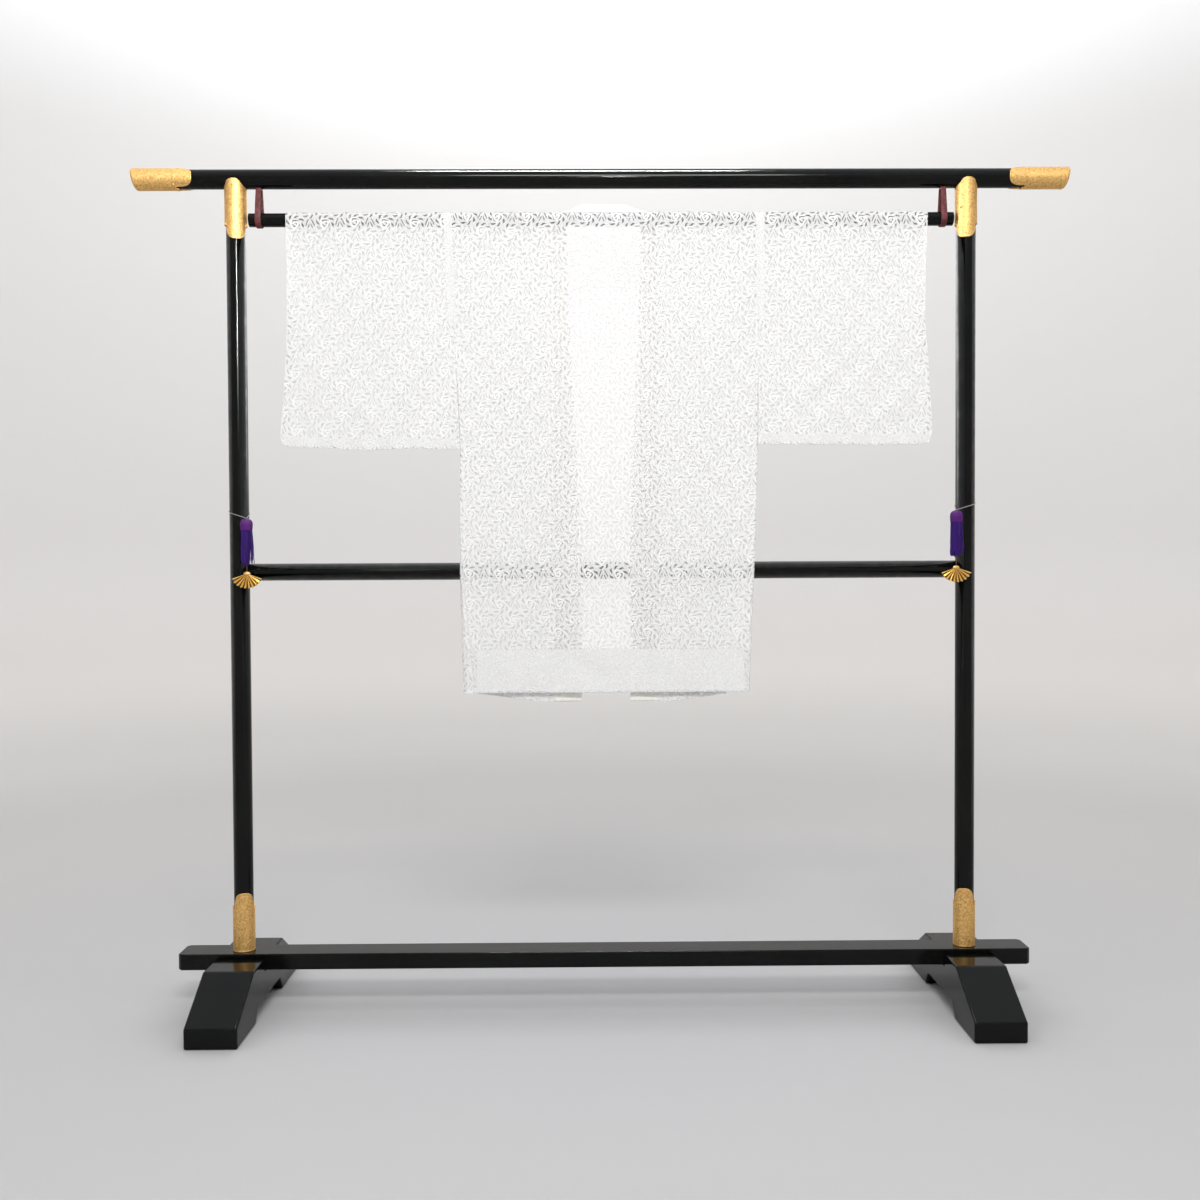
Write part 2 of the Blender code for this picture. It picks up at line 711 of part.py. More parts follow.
def sleeve_edge(side, z):
    """The sleeve's outer edge, with its lower corner rounded."""
    edge = from_table(SLEEVE_EDGES, z, 1 if side < 0 else 2)
    corner = SLEEVE_CORNER_LEFT if side < 0 else SLEEVE_CORNER_RIGHT
    above = corner - (z - SLEEVE_BOTTOM_Z)
    if above <= 0:
        return edge
    return edge - side * (corner - math.sqrt(corner ** 2 - min(above, corner) ** 2))


def sleeve_inner_edge(side, z):
    """Sewn to the body down to the end of the armhole, and parted from it below."""
    parting = SLEEVE_PARTING * smooth_step(ARMHOLE_END_Z, ARMHOLE_END_Z - 0.10, z)
    return body_edge(side, z) + side * (SEAM_GAP + CLOTH / 2 + parting)


def bottom_ripple(x):
    """The sleeve's lower edge isn't quite straight, and the left one sags towards the body."""
    sag = LEFT_SLEEVE_SAG * smooth_step(-0.66, -0.52, x) if x < 0 else 0.0
    return 0.0008 * math.sin(2 * math.pi * x / 0.150) + 0.0004 * math.sin(2 * math.pi * x / 0.047) - sag


# Where the sleeve's columns stand from armhole to wrist, and its lowest rows above the bottom
SLEEVE_SHARES = (0.0, 0.09, 0.2, 0.32, 0.44, 0.56, 0.68, 0.79, 0.88, 0.94, 0.975, 1.0)
SLEEVE_DROPS = (0.0, 0.0008, 0.0035, 0.008, 0.013, 0.020, 0.030, 0.055)


def sleeve_half_depth(side, x, z):
    """Half the distance between the sleeve's two layers."""
    body_half = (front_y(body_edge(side, z), z) - back_y(body_edge(side, z), z)) / 2
    outer = abs(sleeve_edge(side, z) - x)
    inner = abs(x - body_edge(side, z))
    settled = rod_radius(CLOTH) * (1 - 0.10 * smooth_step(1.60, 1.35, z))
    free = between(body_half, settled, smooth_step(0.0, 0.16, inner))
    drop = max(z - SLEEVE_BOTTOM_Z - bottom_ripple(x), 0.0)
    bottom = math.sqrt(max(1 - (1 - min(drop / 0.013, 1.0)) ** 2, 0.0))
    crease = 1 - 0.22 * math.exp(-((drop - 0.020) / 0.006) ** 2)
    closed = smooth_step(WRIST_END_Z + WRIST_GAPE, WRIST_END_Z, z)
    cuff = math.sqrt(max(1 - (1 - min(outer / 0.016, 1.0)) ** 2, 0.0))
    return free * bottom * crease * (1 - closed * (1 - cuff))


def sleeve_middle(side, x, z):
    """The sleeve leans with the body at the armhole and hangs plumb at the wrist."""
    lean = (front_y(body_edge(side, z), z) + back_y(body_edge(side, z), z)) / 2
    inner = abs(x - body_edge(side, z))
    return lean * (1 - 0.8 * smooth_step(0.0, 0.30, inner))


def make_sleeve(name, side):
    """A tube over the rod: fold at the top, seam at the bottom, wrist opening at the upper end."""
    upper_rows = 10
    levels = [SLEEVE_BOTTOM_Z + drop for drop in SLEEVE_DROPS]
    levels += [between(levels[-1], ROD_AXIS_Z, step / upper_rows) for step in range(1, upper_rows + 1)]

    def row_x(share, level):
        return between(sleeve_inner_edge(side, level), sleeve_edge(side, level), share)

    def layer_point(share, level, face):
        x = row_x(share, level)
        z = level + bottom_ripple(x) * smooth_step(SLEEVE_BOTTOM_Z + 0.15, SLEEVE_BOTTOM_Z, level)
        half = sleeve_half_depth(side, x, z)
        return Vector((x, sleeve_middle(side, x, z) + face * half, z))

    grid = []
    for level in levels:
        grid.append([layer_point(share, level, -1) for share in SLEEVE_SHARES])
    radius = rod_radius(CLOTH)
    for step in range(1, ARC_STEPS):
        angle = math.pi * (1 - step / ARC_STEPS)
        y, z = radius * math.cos(angle), ROD_AXIS_Z + radius * math.sin(angle)
        grid.append([Vector((row_x(share, z), y, z)) for share in SLEEVE_SHARES])
    for level in reversed(levels[1:]):
        grid.append([layer_point(share, level, 1) for share in SLEEVE_SHARES])
    wall(name, grid, CLOTH, "lace", wrap=True)


# The collar's turn at the neck's corner: how far the seam edge has moved inwards and its angle up
# the rod, then the free edge's move inwards, its depth, and its share of the collar's full height
NECK_CORNER = (
    (0.000, 22, 0.000, 0.0164, 0.11),
    (0.001, 45, 0.001, 0.0168, 0.27),
    (0.005, 66, 0.004, 0.0160, 0.45),
    (0.016, 80, 0.010, 0.0130, 0.66),
    (0.032, 82, 0.020, 0.0100, 0.84),
    (0.052, 82, 0.034, 0.0080, 0.95),
)


def lapel_edge(side, z):
    """The lapel's free edge, nearer the seam at the neck, where the collar is folded narrower."""
    neck, low = (NECK_LEFT, LAPEL_EDGE_LEFT) if side < 0 else (NECK_RIGHT, LAPEL_EDGE_RIGHT)
    return between(low, neck, smooth_step(0.90, 1.62, z))


def lapel_seam(side):
    return (LAPEL_SEAM_LEFT if side < 0 else LAPEL_SEAM_RIGHT) - side * (SEAM_GAP + CLOTH / 2)


def lapel_sections(side):
    """Seam edge and free edge of the collar from a front's hem up to the middle of the neck."""
    sections = []
    seam = lapel_seam(side)
    hem = front_hem_z(LAPEL_SEAM_LEFT if side < 0 else LAPEL_SEAM_RIGHT)
    rows = 24
    for step in range(rows + 1):
        z = between(hem, ROD_AXIS_Z, step / rows)
        edge = lapel_edge(side, z)
        sections.append((Vector((seam, front_y(seam, z, COLLAR_CLOTH), z)),
                         Vector((edge, front_y(edge, z, COLLAR_CLOTH), z))))
    radius = rod_radius(COLLAR_CLOTH)
    neck = NECK_LEFT if side < 0 else NECK_RIGHT
    for seam_shift, degrees, edge_shift, depth, share in NECK_CORNER:
        y, z = radius * math.cos(math.radians(degrees)), radius * math.sin(math.radians(degrees))
        rise = (radius + COLLAR_STAND) * share
        sections.append((Vector((seam - side * seam_shift, y, ROD_AXIS_Z + z)),
                         Vector((neck - side * edge_shift, depth, ROD_AXIS_Z + rise))))
    return sections


def make_collar():
    """One folded band up the left front, round the back of the neck and down the right front."""
    left, right = lapel_sections(-1), lapel_sections(1)
    middle = []
    seam_start, edge_start = left[-1]
    seam_end, edge_end = right[-1]
    for step in range(1, 4):
        share = step / 4
        crown = 0.0012 * math.sin(math.pi * share)
        middle.append((seam_start.lerp(seam_end, share),
                       edge_start.lerp(edge_end, share) + Vector((0, 0, crown))))
    grid = []
    for seam, edge in left + middle + list(reversed(right)):
        grid.append([seam.lerp(edge, share) for share in (0.0, 0.33, 0.67, 1.0)])
    wall("collar", grid, COLLAR_CLOTH, "lace")


def make_neck_patch():
    """A plain patch on the inside of the back, just below the neck."""
    inset = CLOTH / 2 + GAP + PATCH_CLOTH / 2
    rows, columns = 3, 5
    across = [between(PATCH_LEFT, PATCH_RIGHT, column / columns) for column in range(columns + 1)]
    grid = []
    for row in range(rows + 1):
        z = between(PATCH_BOTTOM_Z, PATCH_TOP_Z, row / rows)
        grid.append([Vector((x, back_y(x, z) + inset, z)) for x in across])
    wall("neck_patch", grid, PATCH_CLOTH, "plain_cloth")


def main():
    clear_scene()
    make_materials()
    make_beam()
    make_mid_rail()
    make_hanger_rod()
    make_base_board()
    for word, side in (("left", -1), ("right", 1)):
        make_post("post_" + word, side)
        make_foot("foot_" + word, side)
        make_beam_cap("beam_cap_" + word, side)
        make_post_top_fitting("post_top_fitting_" + word, side)
        make_post_bottom_fitting("post_bottom_fitting_" + word, side)
        make_strap("strap_" + word, side)
        make_thread("ornament_thread_" + word, side)
        make_tassel("tassel_" + word, side)
        make_fan("ornament_fan_" + word, side)
        make_gusset("gusset_" + word, side)
        make_sleeve("sleeve_" + word, side)
    make_body()
    make_collar()
    make_neck_patch()


main()
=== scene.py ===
"""The finish of a white lace haori on a black lacquered kimono stand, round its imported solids.

Metres, +Z up. The viewer stands at -Y and sees the haori's back; its open fronts hang behind.
"Left" and "right" are the viewer's, at -X and +X.
"""

import math

import bmesh
import bpy
import numpy as np
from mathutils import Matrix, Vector


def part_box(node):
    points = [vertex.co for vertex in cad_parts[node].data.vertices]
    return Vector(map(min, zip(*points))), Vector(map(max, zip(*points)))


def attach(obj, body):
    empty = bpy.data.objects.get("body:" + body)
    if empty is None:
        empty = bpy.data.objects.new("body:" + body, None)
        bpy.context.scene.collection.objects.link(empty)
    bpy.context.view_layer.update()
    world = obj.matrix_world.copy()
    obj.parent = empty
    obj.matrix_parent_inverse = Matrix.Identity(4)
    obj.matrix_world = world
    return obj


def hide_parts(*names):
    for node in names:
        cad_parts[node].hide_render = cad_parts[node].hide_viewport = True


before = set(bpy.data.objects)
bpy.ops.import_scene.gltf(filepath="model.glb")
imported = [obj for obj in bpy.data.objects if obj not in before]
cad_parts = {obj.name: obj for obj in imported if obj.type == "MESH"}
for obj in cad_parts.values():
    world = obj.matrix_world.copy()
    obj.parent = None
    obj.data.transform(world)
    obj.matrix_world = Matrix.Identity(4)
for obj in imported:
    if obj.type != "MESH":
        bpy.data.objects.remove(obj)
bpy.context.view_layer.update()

# Camera: a plain wide lens 2.5 m in front of the haori's back, level with the middle of the stand
# and tipped down a little, as the photograph was taken.
camera = bpy.data.objects.new("camera", bpy.data.cameras.new("camera"))
bpy.context.scene.collection.objects.link(camera)
camera.data.lens = 35
camera.data.sensor_width = 36
camera.location = (-0.029, -2.46, 0.916)
camera.rotation_euler = [math.radians(turn) for turn in (88.65, 0.27, -0.506)]
bpy.context.scene.camera = camera

# Studio: a round bowl of matte board, open at the top, whose floor runs up into its wall. A broad
# soft light hangs in front above the camera, another washes the wall, and narrow ones that light no
# matte surface leave thin lines in the lacquer.
BOWL_FLOOR_RADIUS = 3.6
BOWL_FILLET = 1.1
BOWL_WALL_TOP = 5.0
BOWL_SIDES = 96
BOWL_FILLET_STEPS = 12
SKY_STRENGTH = 1.15
# The bowl's profile measured out along the floor and then up, and the board's tone at such places, which is
# painted light: darker low down as painted shade, paler up to white at the top as painted light from above
BOWL_RUN = BOWL_FLOOR_RADIUS + BOWL_FILLET + BOWL_WALL_TOP
BOARD_PAINTED_LIGHT = (
    (0.0, "#b3b3b4"), (1.0, "#b7b6b6"), (2.6, "#bebcb9"), (4.0, "#cbc9c6"), (4.9, "#d8d5d2"),
    (5.8, "#e0dedc"), (6.7, "#e1e0de"), (7.9, "#e3e2e0"), (8.9, "#ffffff"), (BOWL_RUN, "#ffffff"),
)


def linear(hex_colour):
    """An sRGB colour such as #c8a060 as the linear values that a shader takes."""
    shares = [int(hex_colour[place:place + 2], 16) / 255 for place in (1, 3, 5)]
    shades = [share / 12.92 if share <= 0.04045 else ((share + 0.055) / 1.055) ** 2.4 for share in shares]
    return shades + [1.0]


def add_node(tree, kind, links=None, out=0, **settings):
    """A node with its settings, its inputs linked or set, and one of its outputs given back."""
    node = tree.nodes.new(kind)
    for name, value in settings.items():
        setattr(node, name, value)
    for place, value in (links or {}).items():
        if isinstance(value, bpy.types.NodeSocket):
            tree.links.new(value, node.inputs[place])
        else:
            node.inputs[place].default_value = value
    return node.outputs[out] if len(node.outputs) else node


def new_finish(name, **sockets):
    """A material with a Principled BSDF, its sockets set by name, and its node tree."""
    finish = bpy.data.materials.new(name)
    finish.use_nodes = True
    shader = finish.node_tree.nodes["Principled BSDF"]
    for socket, value in sockets.items():
        shader.inputs[socket.replace("_", " ")].default_value = value
    return finish, finish.node_tree, shader


def matte_board():
    """Board with painted light: mid grey underfoot as painted shade, and paler and paler up the wall as
    painted light from above.
    """
    finish, tree, shader = new_finish("matte_board", Roughness=0.85)
    place = add_node(tree, "ShaderNodeTexCoord", out="Object")
    height = add_node(tree, "ShaderNodeSeparateXYZ", {0: place}, out="Z")
    outward = add_node(tree, "ShaderNodeVectorMath", {0: place, 1: (1.0, 1.0, 0.0)}, operation="MULTIPLY")
    outward = add_node(tree, "ShaderNodeVectorMath", {0: outward}, out=1, operation="LENGTH")
    run = add_node(tree, "ShaderNodeMath", {0: outward, 1: height})
    share = add_node(tree, "ShaderNodeMapRange", {0: run, 1: 0.0, 2: BOWL_RUN})
    # Painted light and shade: the board's colour runs from shaded grey at the floor to lit white up the wall.
    painted_light_ramp = tree.nodes.new("ShaderNodeValToRGB")
    tree.links.new(share, painted_light_ramp.inputs["Fac"])
    painted_light_ramp.color_ramp.interpolation = "EASE"
    for metres, colour in BOARD_PAINTED_LIGHT[1:-1]:
        painted_light_ramp.color_ramp.elements.new(metres / BOWL_RUN).color = linear(colour)
    painted_light_ramp.color_ramp.elements[0].color = linear(BOARD_PAINTED_LIGHT[0][1])
    painted_light_ramp.color_ramp.elements[-1].color = linear(BOARD_PAINTED_LIGHT[-1][1])
    tree.links.new(painted_light_ramp.outputs["Color"], shader.inputs["Base Color"])
    return finish


def make_bowl():
    profile = [(0.0, 0.0), (BOWL_FLOOR_RADIUS / 2, 0.0), (BOWL_FLOOR_RADIUS, 0.0)]
    for step in range(1, BOWL_FILLET_STEPS + 1):
        angle = math.pi / 2 * step / BOWL_FILLET_STEPS
        outward, upward = BOWL_FILLET * math.sin(angle), BOWL_FILLET * (1 - math.cos(angle))
        profile.append((BOWL_FLOOR_RADIUS + outward, upward))
    profile.append((BOWL_FLOOR_RADIUS + BOWL_FILLET, BOWL_WALL_TOP))
    shape = bmesh.new()
    verts = [shape.verts.new((radius, 0, height)) for radius, height in profile]
    edges = [shape.edges.new(pair) for pair in zip(verts, verts[1:])]
    bmesh.ops.spin(shape, geom=verts + edges, cent=(0, 0, 0), axis=(0, 0, 1), angle=2 * math.pi,
                   steps=BOWL_SIDES, use_duplicate=False)
    bmesh.ops.remove_doubles(shape, verts=shape.verts, dist=0.0001)
    bmesh.ops.recalc_face_normals(shape, faces=shape.faces)
    bmesh.ops.reverse_faces(shape, faces=shape.faces)
    mesh = bpy.data.meshes.new("studio_bowl")
    shape.to_mesh(mesh)
    shape.free()
    mesh.shade_smooth()
    mesh.materials.append(matte_board())
    bowl = bpy.data.objects.new("studio_bowl", mesh)
    bpy.context.scene.collection.objects.link(bowl)


def add_lamp(name, place, aim, size, watts, spread=180):
    """A rectangular lamp at a place, turned towards a point; a narrow spread lights gloss alone."""
    lamp = bpy.data.objects.new(name, bpy.data.lights.new(name, "AREA"))
    bpy.context.scene.collection.objects.link(lamp)
    lamp.data.shape = "RECTANGLE"
    lamp.data.size, lamp.data.size_y = size
    lamp.data.energy = watts
    lamp.data.spread = math.radians(spread)
    lamp.visible_diffuse = spread == 180
    lamp.location = place
    lamp.rotation_euler = (Vector(aim) - Vector(place)).to_track_quat("-Z", "Y").to_euler()


make_bowl()
add_lamp("front_softbox", (0.15, -2.9, 3.0), (0.0, 0.0, 1.15), (1.5, 0.5), 66)
add_lamp("back_softbox", (-0.2, 3.0, 3.1), (0.0, 0.0, 1.1), (1.8, 0.8), 13)
add_lamp("wall_wash", (0.0, 1.9, 4.2), (0.0, 4.7, 3.4), (1.2, 0.4), 30)
add_lamp("ceiling_tube", (-0.06, -0.15, 2.95), (-0.05, 0.0, 1.74), (1.0, 0.05), 9, 60)
add_lamp("tall_strip", (0.12, -2.75, 2.13), (-0.76, 0.0, 1.5), (0.02, 0.53), 3.5, 40)
add_lamp("small_window", (-2.0, -0.75, 2.37), (0.76, 0.0, 1.6), (0.05, 0.06), 1.2, 30)
sky = bpy.data.worlds.new("pale_sky")
bpy.context.scene.world = sky
sky.use_nodes = True
sky.node_tree.nodes["Background"].inputs["Color"].default_value = linear("#fafbff")
sky.node_tree.nodes["Background"].inputs["Strength"].default_value = SKY_STRENGTH
bpy.context.scene.view_settings.view_transform = "Standard"

# Beam, mid rail, hanging rod and posts: turned wood under many coats of black lacquer, rubbed and
# polished until it mirrors the room. The beam sits in a saddle on the posts, the rail between them.
BAR_SIDES = 72
END_ROUND = 0.002
END_STEPS = 4
CAPPED_END = 0.020
SADDLE_CLEARANCE = 0.0003
CUTTER_REACH = 0.06


def black_lacquer():
    """Polished black lacquer: a mirror over near-black, with slow waves left by brush and stone."""
    finish, tree, shader = new_finish("black_lacquer", IOR=1.26)
    place = add_node(tree, "ShaderNodeTexCoord", out="Object")
    clouds = add_node(tree, "ShaderNodeTexNoise", {"Vector": place, "Scale": 9.0, "Detail": 3.0})
    tint = add_node(tree, "ShaderNodeMapRange", {0: clouds, 1: 0.35, 2: 0.68})
    colour = add_node(tree, "ShaderNodeMix", {0: tint, 6: linear("#050606"), 7: linear("#0b0d0b")}, out=2,
                      data_type="RGBA")
    wipes = add_node(tree, "ShaderNodeTexNoise", {"Vector": place, "Scale": 55.0, "Detail": 4.0})
    gloss = add_node(tree, "ShaderNodeMapRange", {0: wipes, 1: 0.3, 2: 0.75, 3: 0.08, 4: 0.20})
    waves = add_node(tree, "ShaderNodeTexNoise", {"Vector": place, "Scale": 16.0, "Detail": 1.0})
    specks = add_node(tree, "ShaderNodeTexNoise", {"Vector": place, "Scale": 420.0, "Detail": 2.0})
    dust = add_node(tree, "ShaderNodeMapRange", {0: specks, 1: 0.66, 2: 0.74, 4: 0.10})
    height = add_node(tree, "ShaderNodeMath", {0: waves, 1: dust}, operation="ADD")
    normal = add_node(tree, "ShaderNodeBump", {"Height": height, "Strength": 0.30, "Distance": 0.0001})
    tree.links.new(colour, shader.inputs["Base Color"])
    tree.links.new(gloss, shader.inputs["Roughness"])
    tree.links.new(normal, shader.inputs["Normal"])
    return finish


def add_piece(name, points, faces, finish, smooth_angle=40):
    """An object at the origin from points and faces, its equal points merged and faces turned out."""
    mesh = bpy.data.meshes.new(name)
    mesh.from_pydata(points, [], faces)
    shape = bmesh.new()
    shape.from_mesh(mesh)
    bmesh.ops.remove_doubles(shape, verts=shape.verts, dist=0.00001)
    bmesh.ops.dissolve_degenerate(shape, edges=shape.edges, dist=0.000001)
    bmesh.ops.recalc_face_normals(shape, faces=shape.faces)
    shape.to_mesh(mesh)
    shape.free()
    mesh.shade_smooth()
    mesh.set_sharp_from_angle(angle=math.radians(smooth_angle))
    mesh.materials.append(finish)
    piece = bpy.data.objects.new(name, mesh)
    bpy.context.scene.collection.objects.link(piece)
    return piece


def ring_piece(name, rings, finish, wrap=False, smooth_angle=40):
    """A closed skin through rings of equal length, capped at its ends or joined to itself."""
    count = len(rings[0])
    points = [tuple(point) for ring in rings for point in ring]
    faces = []
    for row in range(len(rings) if wrap else len(rings) - 1):
        for side in range(count):
            here, there = row * count, (row + 1) % len(rings) * count
            after = (side + 1) % count
            faces.append((here + side, here + after, there + after, there + side))
    if not wrap:
        faces.append(tuple(range(count)))
        faces.append(tuple(range(len(points) - count, len(points))))
    return add_piece(name, points, faces, finish, smooth_angle)


def settle(piece):
    """The piece with its modifiers worked into its mesh."""
    graph = bpy.context.evaluated_depsgraph_get()
    mesh = bpy.data.meshes.new_from_object(piece.evaluated_get(graph), preserve_all_data_layers=True,
                                           depsgraph=graph)
    piece.modifiers.clear()
    piece.data = mesh
    return piece


def circle(centre, radius, axis, sides=BAR_SIDES):
    """A ring of points round an axis, the first at -Y."""
    points = []
    for side in range(sides):
        angle = 2 * math.pi * side / sides
        across = math.sin(angle) * radius
        offset = Vector((across, -math.cos(angle) * radius, 0))
        if axis == "X":
            offset = Vector((0, -math.cos(angle) * radius, across))
        points.append(Vector(centre) + offset)
    return points


def turned_bar(name, axis, finish, length_trim=0.0):
    """A round bar in a CAD node's place, its ends rounded over."""
    low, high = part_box(name)
    middle = (low + high) / 2
    along = "XYZ".index(axis)
    radius = (high.y - low.y) / 2
    rings = []
    for end, inward in ((low, 1), (high, -1)):
        for turn in range(END_STEPS + 1)[::inward]:
            angle = math.pi / 2 * turn / END_STEPS
            centre = middle.copy()
            centre[along] = end[along] + inward * (length_trim + END_ROUND * (1 - math.sin(angle)))
            rings.append(circle(centre, radius - END_ROUND * (1 - math.cos(math.pi / 2 - angle)), axis))
    return ring_piece(name + "_lacquered", rings, finish)


def cut_round(piece, centre, radius, axis):
    """Take a round bar's room out of a piece."""
    reach = Vector((CUTTER_REACH, 0, 0)) if axis == "X" else Vector((0, 0, CUTTER_REACH))
    cutter = ring_piece(piece.name + "_cutter", [circle(Vector(centre) - reach, radius, axis),
                                                 circle(Vector(centre) + reach, radius, axis)], None)
    cut = piece.modifiers.new("Saddle", "BOOLEAN")
    cut.operation = "DIFFERENCE"
    cut.object = cutter
    settle(piece)
    bpy.data.objects.remove(cutter)


def finish_piece(piece, slot, *nodes):
    """The piece stands for its CAD nodes, which it hides, and rides with the stand; its slot is not used."""
    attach(piece, "root")
    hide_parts(*nodes)


lacquer = black_lacquer()
beam_low, beam_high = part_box("top_beam")
beam_axis_z = (beam_low.z + beam_high.z) / 2
beam_radius = (beam_high.y - beam_low.y) / 2
beam_half = beam_high.x
rail_axis_z = sum((corner.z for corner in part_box("mid_rail")), 0.0) / 2
rail_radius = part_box("mid_rail")[1].y
rod_axis_z = sum((corner.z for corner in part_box("hanger_rod")), 0.0) / 2
rod_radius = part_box("hanger_rod")[1].y
post_low, post_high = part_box("post_right")
post_x = (post_low.x + post_high.x) / 2
post_radius = post_high.y

for name, trim in (("top_beam", CAPPED_END), ("mid_rail", 0.0), ("hanger_rod", 0.0)):
    bar = turned_bar(name, "X", lacquer, trim)
    if name == "mid_rail":
        for side in (-1, 1):
            cut_round(bar, (side * post_x, 0, rail_axis_z), post_radius + SADDLE_CLEARANCE, "Z")
    finish_piece(bar, "lacquer", name)
for word, side in (("left", -1), ("right", 1)):
    post = turned_bar("post_" + word, "Z", lacquer)
    cut_round(post, (side * post_x, 0, beam_axis_z), beam_radius + SADDLE_CLEARANCE, "X")
    finish_piece(post, "lacquer", "post_" + word)

# Feet and base board: planed wood under the same lacquer. Each foot slopes down to both ends from
# a flat hub and stands on two pads either side of a low arch, and the board is let into both feet.
FOOT_EASE = 0.0042
BOARD_EASE = 0.0022
FOOT_END_HEIGHT = 0.041
HUB_HEIGHT = 0.112
HUB_LENGTH = 0.222
ARCH_HEIGHT = 0.029
ARCH_TOP_LENGTH = 0.166
ARCH_FOOT_LENGTH = 0.206
BOARD_CHAMFER = 0.007


def ease_edges(piece, width, above):
    """Round the edges sharper than an angle, and keep the flats flat."""
    ease = piece.modifiers.new("Eased edges", "BEVEL")
    ease.width = width
    ease.segments = 4
    ease.limit_method = "ANGLE"
    ease.angle_limit = math.radians(above)
    ease.harden_normals = True
    settle(piece)


board_low, board_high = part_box("base_board")
for word, side in (("left", -1), ("right", 1)):
    foot_low, foot_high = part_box("foot_" + word)
    end, hub, rail = foot_high.y, HUB_LENGTH / 2, board_high.y + SADDLE_CLEARANCE
    half_profile = (
        (rail, board_low.z - SADDLE_CLEARANCE), (rail, HUB_HEIGHT), (hub, HUB_HEIGHT), (end, FOOT_END_HEIGHT),
        (end, 0.0), (ARCH_FOOT_LENGTH / 2, 0.0), (ARCH_TOP_LENGTH / 2, ARCH_HEIGHT))
    profile = list(half_profile) + [(-y, z) for y, z in reversed(half_profile)]
    sides = [[(x, y, z) for y, z in profile] for x in (foot_low.x, foot_high.x)]
    foot = ring_piece("foot_" + word + "_lacquered", sides, lacquer, smooth_angle=50)
    ease_edges(foot, FOOT_EASE, 20)
    finish_piece(foot, "lacquer", "foot_" + word)

half, depth = board_high.x, board_high.y
outline = (
    (-half + BOARD_CHAMFER, -depth), (half - BOARD_CHAMFER, -depth), (half, -depth + BOARD_CHAMFER),
    (half, depth - BOARD_CHAMFER), (half - BOARD_CHAMFER, depth), (-half + BOARD_CHAMFER, depth),
    (-half, depth - BOARD_CHAMFER), (-half, -depth + BOARD_CHAMFER))
faces = [[(x, y, z) for x, y in outline] for z in (board_low.z, board_high.z)]
board = ring_piece("base_board_lacquered", faces, lacquer, smooth_angle=50)
ease_edges(board, BOARD_EASE, 30)
finish_piece(board, "lacquer", "base_board")

# Gilt fittings: thin brass sheet bent round the posts and the beam's ends, each with a round tongue
# between two nicks, a raised rim, a punched and chased ground, and small domed nails that hold it.
FITTING_RADIUS = 0.023
FITTING_TURN = math.radians(18)
TONGUE_LENGTH = 0.030
TONGUE_HALF_ANGLE = math.radians(56)
NICK_HALF_ANGLE = math.radians(70)
NICK_DEPTH = 0.005
CAP_LENGTH = 0.1315
CAP_END_SLANT = 0.008
CAP_WALL = 0.002
CAP_DOME = 0.0035
CAP_INSET = 0.0001
# The cap's end falls away slowly over its rim's width and turns in over the last few millimetres
CAP_RIM_FALL = 0.0004
CAP_RIM_WIDTH = 0.007
CAP_TURN = 0.0012
CAP_TURN_WIDTH = 0.0030
# The dome's rings, as shares of the cap's radius
CAP_DOME_RINGS = (0.93, 0.89, 0.84, 0.78, 0.7, 0.6, 0.48, 0.34, 0.18, 0.01)
POLE_RADIUS = 0.0002
TOP_FITTING_LOW_Z = 1.6114
TOP_FITTING_PEAK_Z = 1.7355
TOP_FITTING_CROWN = 0.020
FITTING_SIDES = 144
RIM_HEIGHT = 0.0004
RIM_WIDTH = 0.0026
NAIL_RADIUS = 0.0021
# Distances from an edge at which a fitting's sheet has a row of points, and the spans between rims
RIM_ROWS = (0.0, 0.0004, 0.0010, 0.0016, 0.0022, 0.0028, 0.0036)
SHEET_SPANS = 20
SHEET_ROWS = 2 * len(RIM_ROWS) + SHEET_SPANS - 1


def gilt_sheet():
    """Gilt brass sheet: pale warm gold, softly polished, its ground punched with faint 2 mm dots."""
    finish, tree, shader = new_finish("gilt_brass_sheet", Metallic=1.0)
    place = add_node(tree, "ShaderNodeTexCoord", out="Object")
    dots = add_node(tree, "ShaderNodeTexVoronoi", {"Vector": place, "Scale": 420.0, "Randomness": 1.0})
    punched = add_node(tree, "ShaderNodeMapRange", {0: dots, 1: 0.10, 2: 0.34, 3: 1.0, 4: 0.0},
                       interpolation_type="SMOOTHSTEP")
    dents = add_node(tree, "ShaderNodeTexNoise", {"Vector": place, "Scale": 150.0, "Detail": 2.0})
    height = add_node(tree, "ShaderNodeMath", {0: dents, 1: 0.6, 2: punched}, operation="MULTIPLY_ADD")
    normal = add_node(tree, "ShaderNodeBump", {"Height": height, "Strength": 0.50, "Distance": 0.0009})
    patina = add_node(tree, "ShaderNodeTexNoise", {"Vector": place, "Scale": 240.0, "Detail": 5.0})
    worn = add_node(tree, "ShaderNodeMath", {0: punched, 1: -0.50, 2: patina}, operation="MULTIPLY_ADD")
    share = add_node(tree, "ShaderNodeMapRange", {0: worn, 1: 0.10, 2: 0.58})
    colour = add_node(tree, "ShaderNodeMix", {0: share, 6: linear("#a8702c"), 7: linear("#eec680")}, out=2,
                      data_type="RGBA")
    gloss = add_node(tree, "ShaderNodeMapRange", {0: patina, 1: 0.3, 2: 0.7, 3: 0.48, 4: 0.62})
    tree.links.new(colour, shader.inputs["Base Color"])
    tree.links.new(gloss, shader.inputs["Roughness"])
    tree.links.new(normal, shader.inputs["Normal"])
    return finish


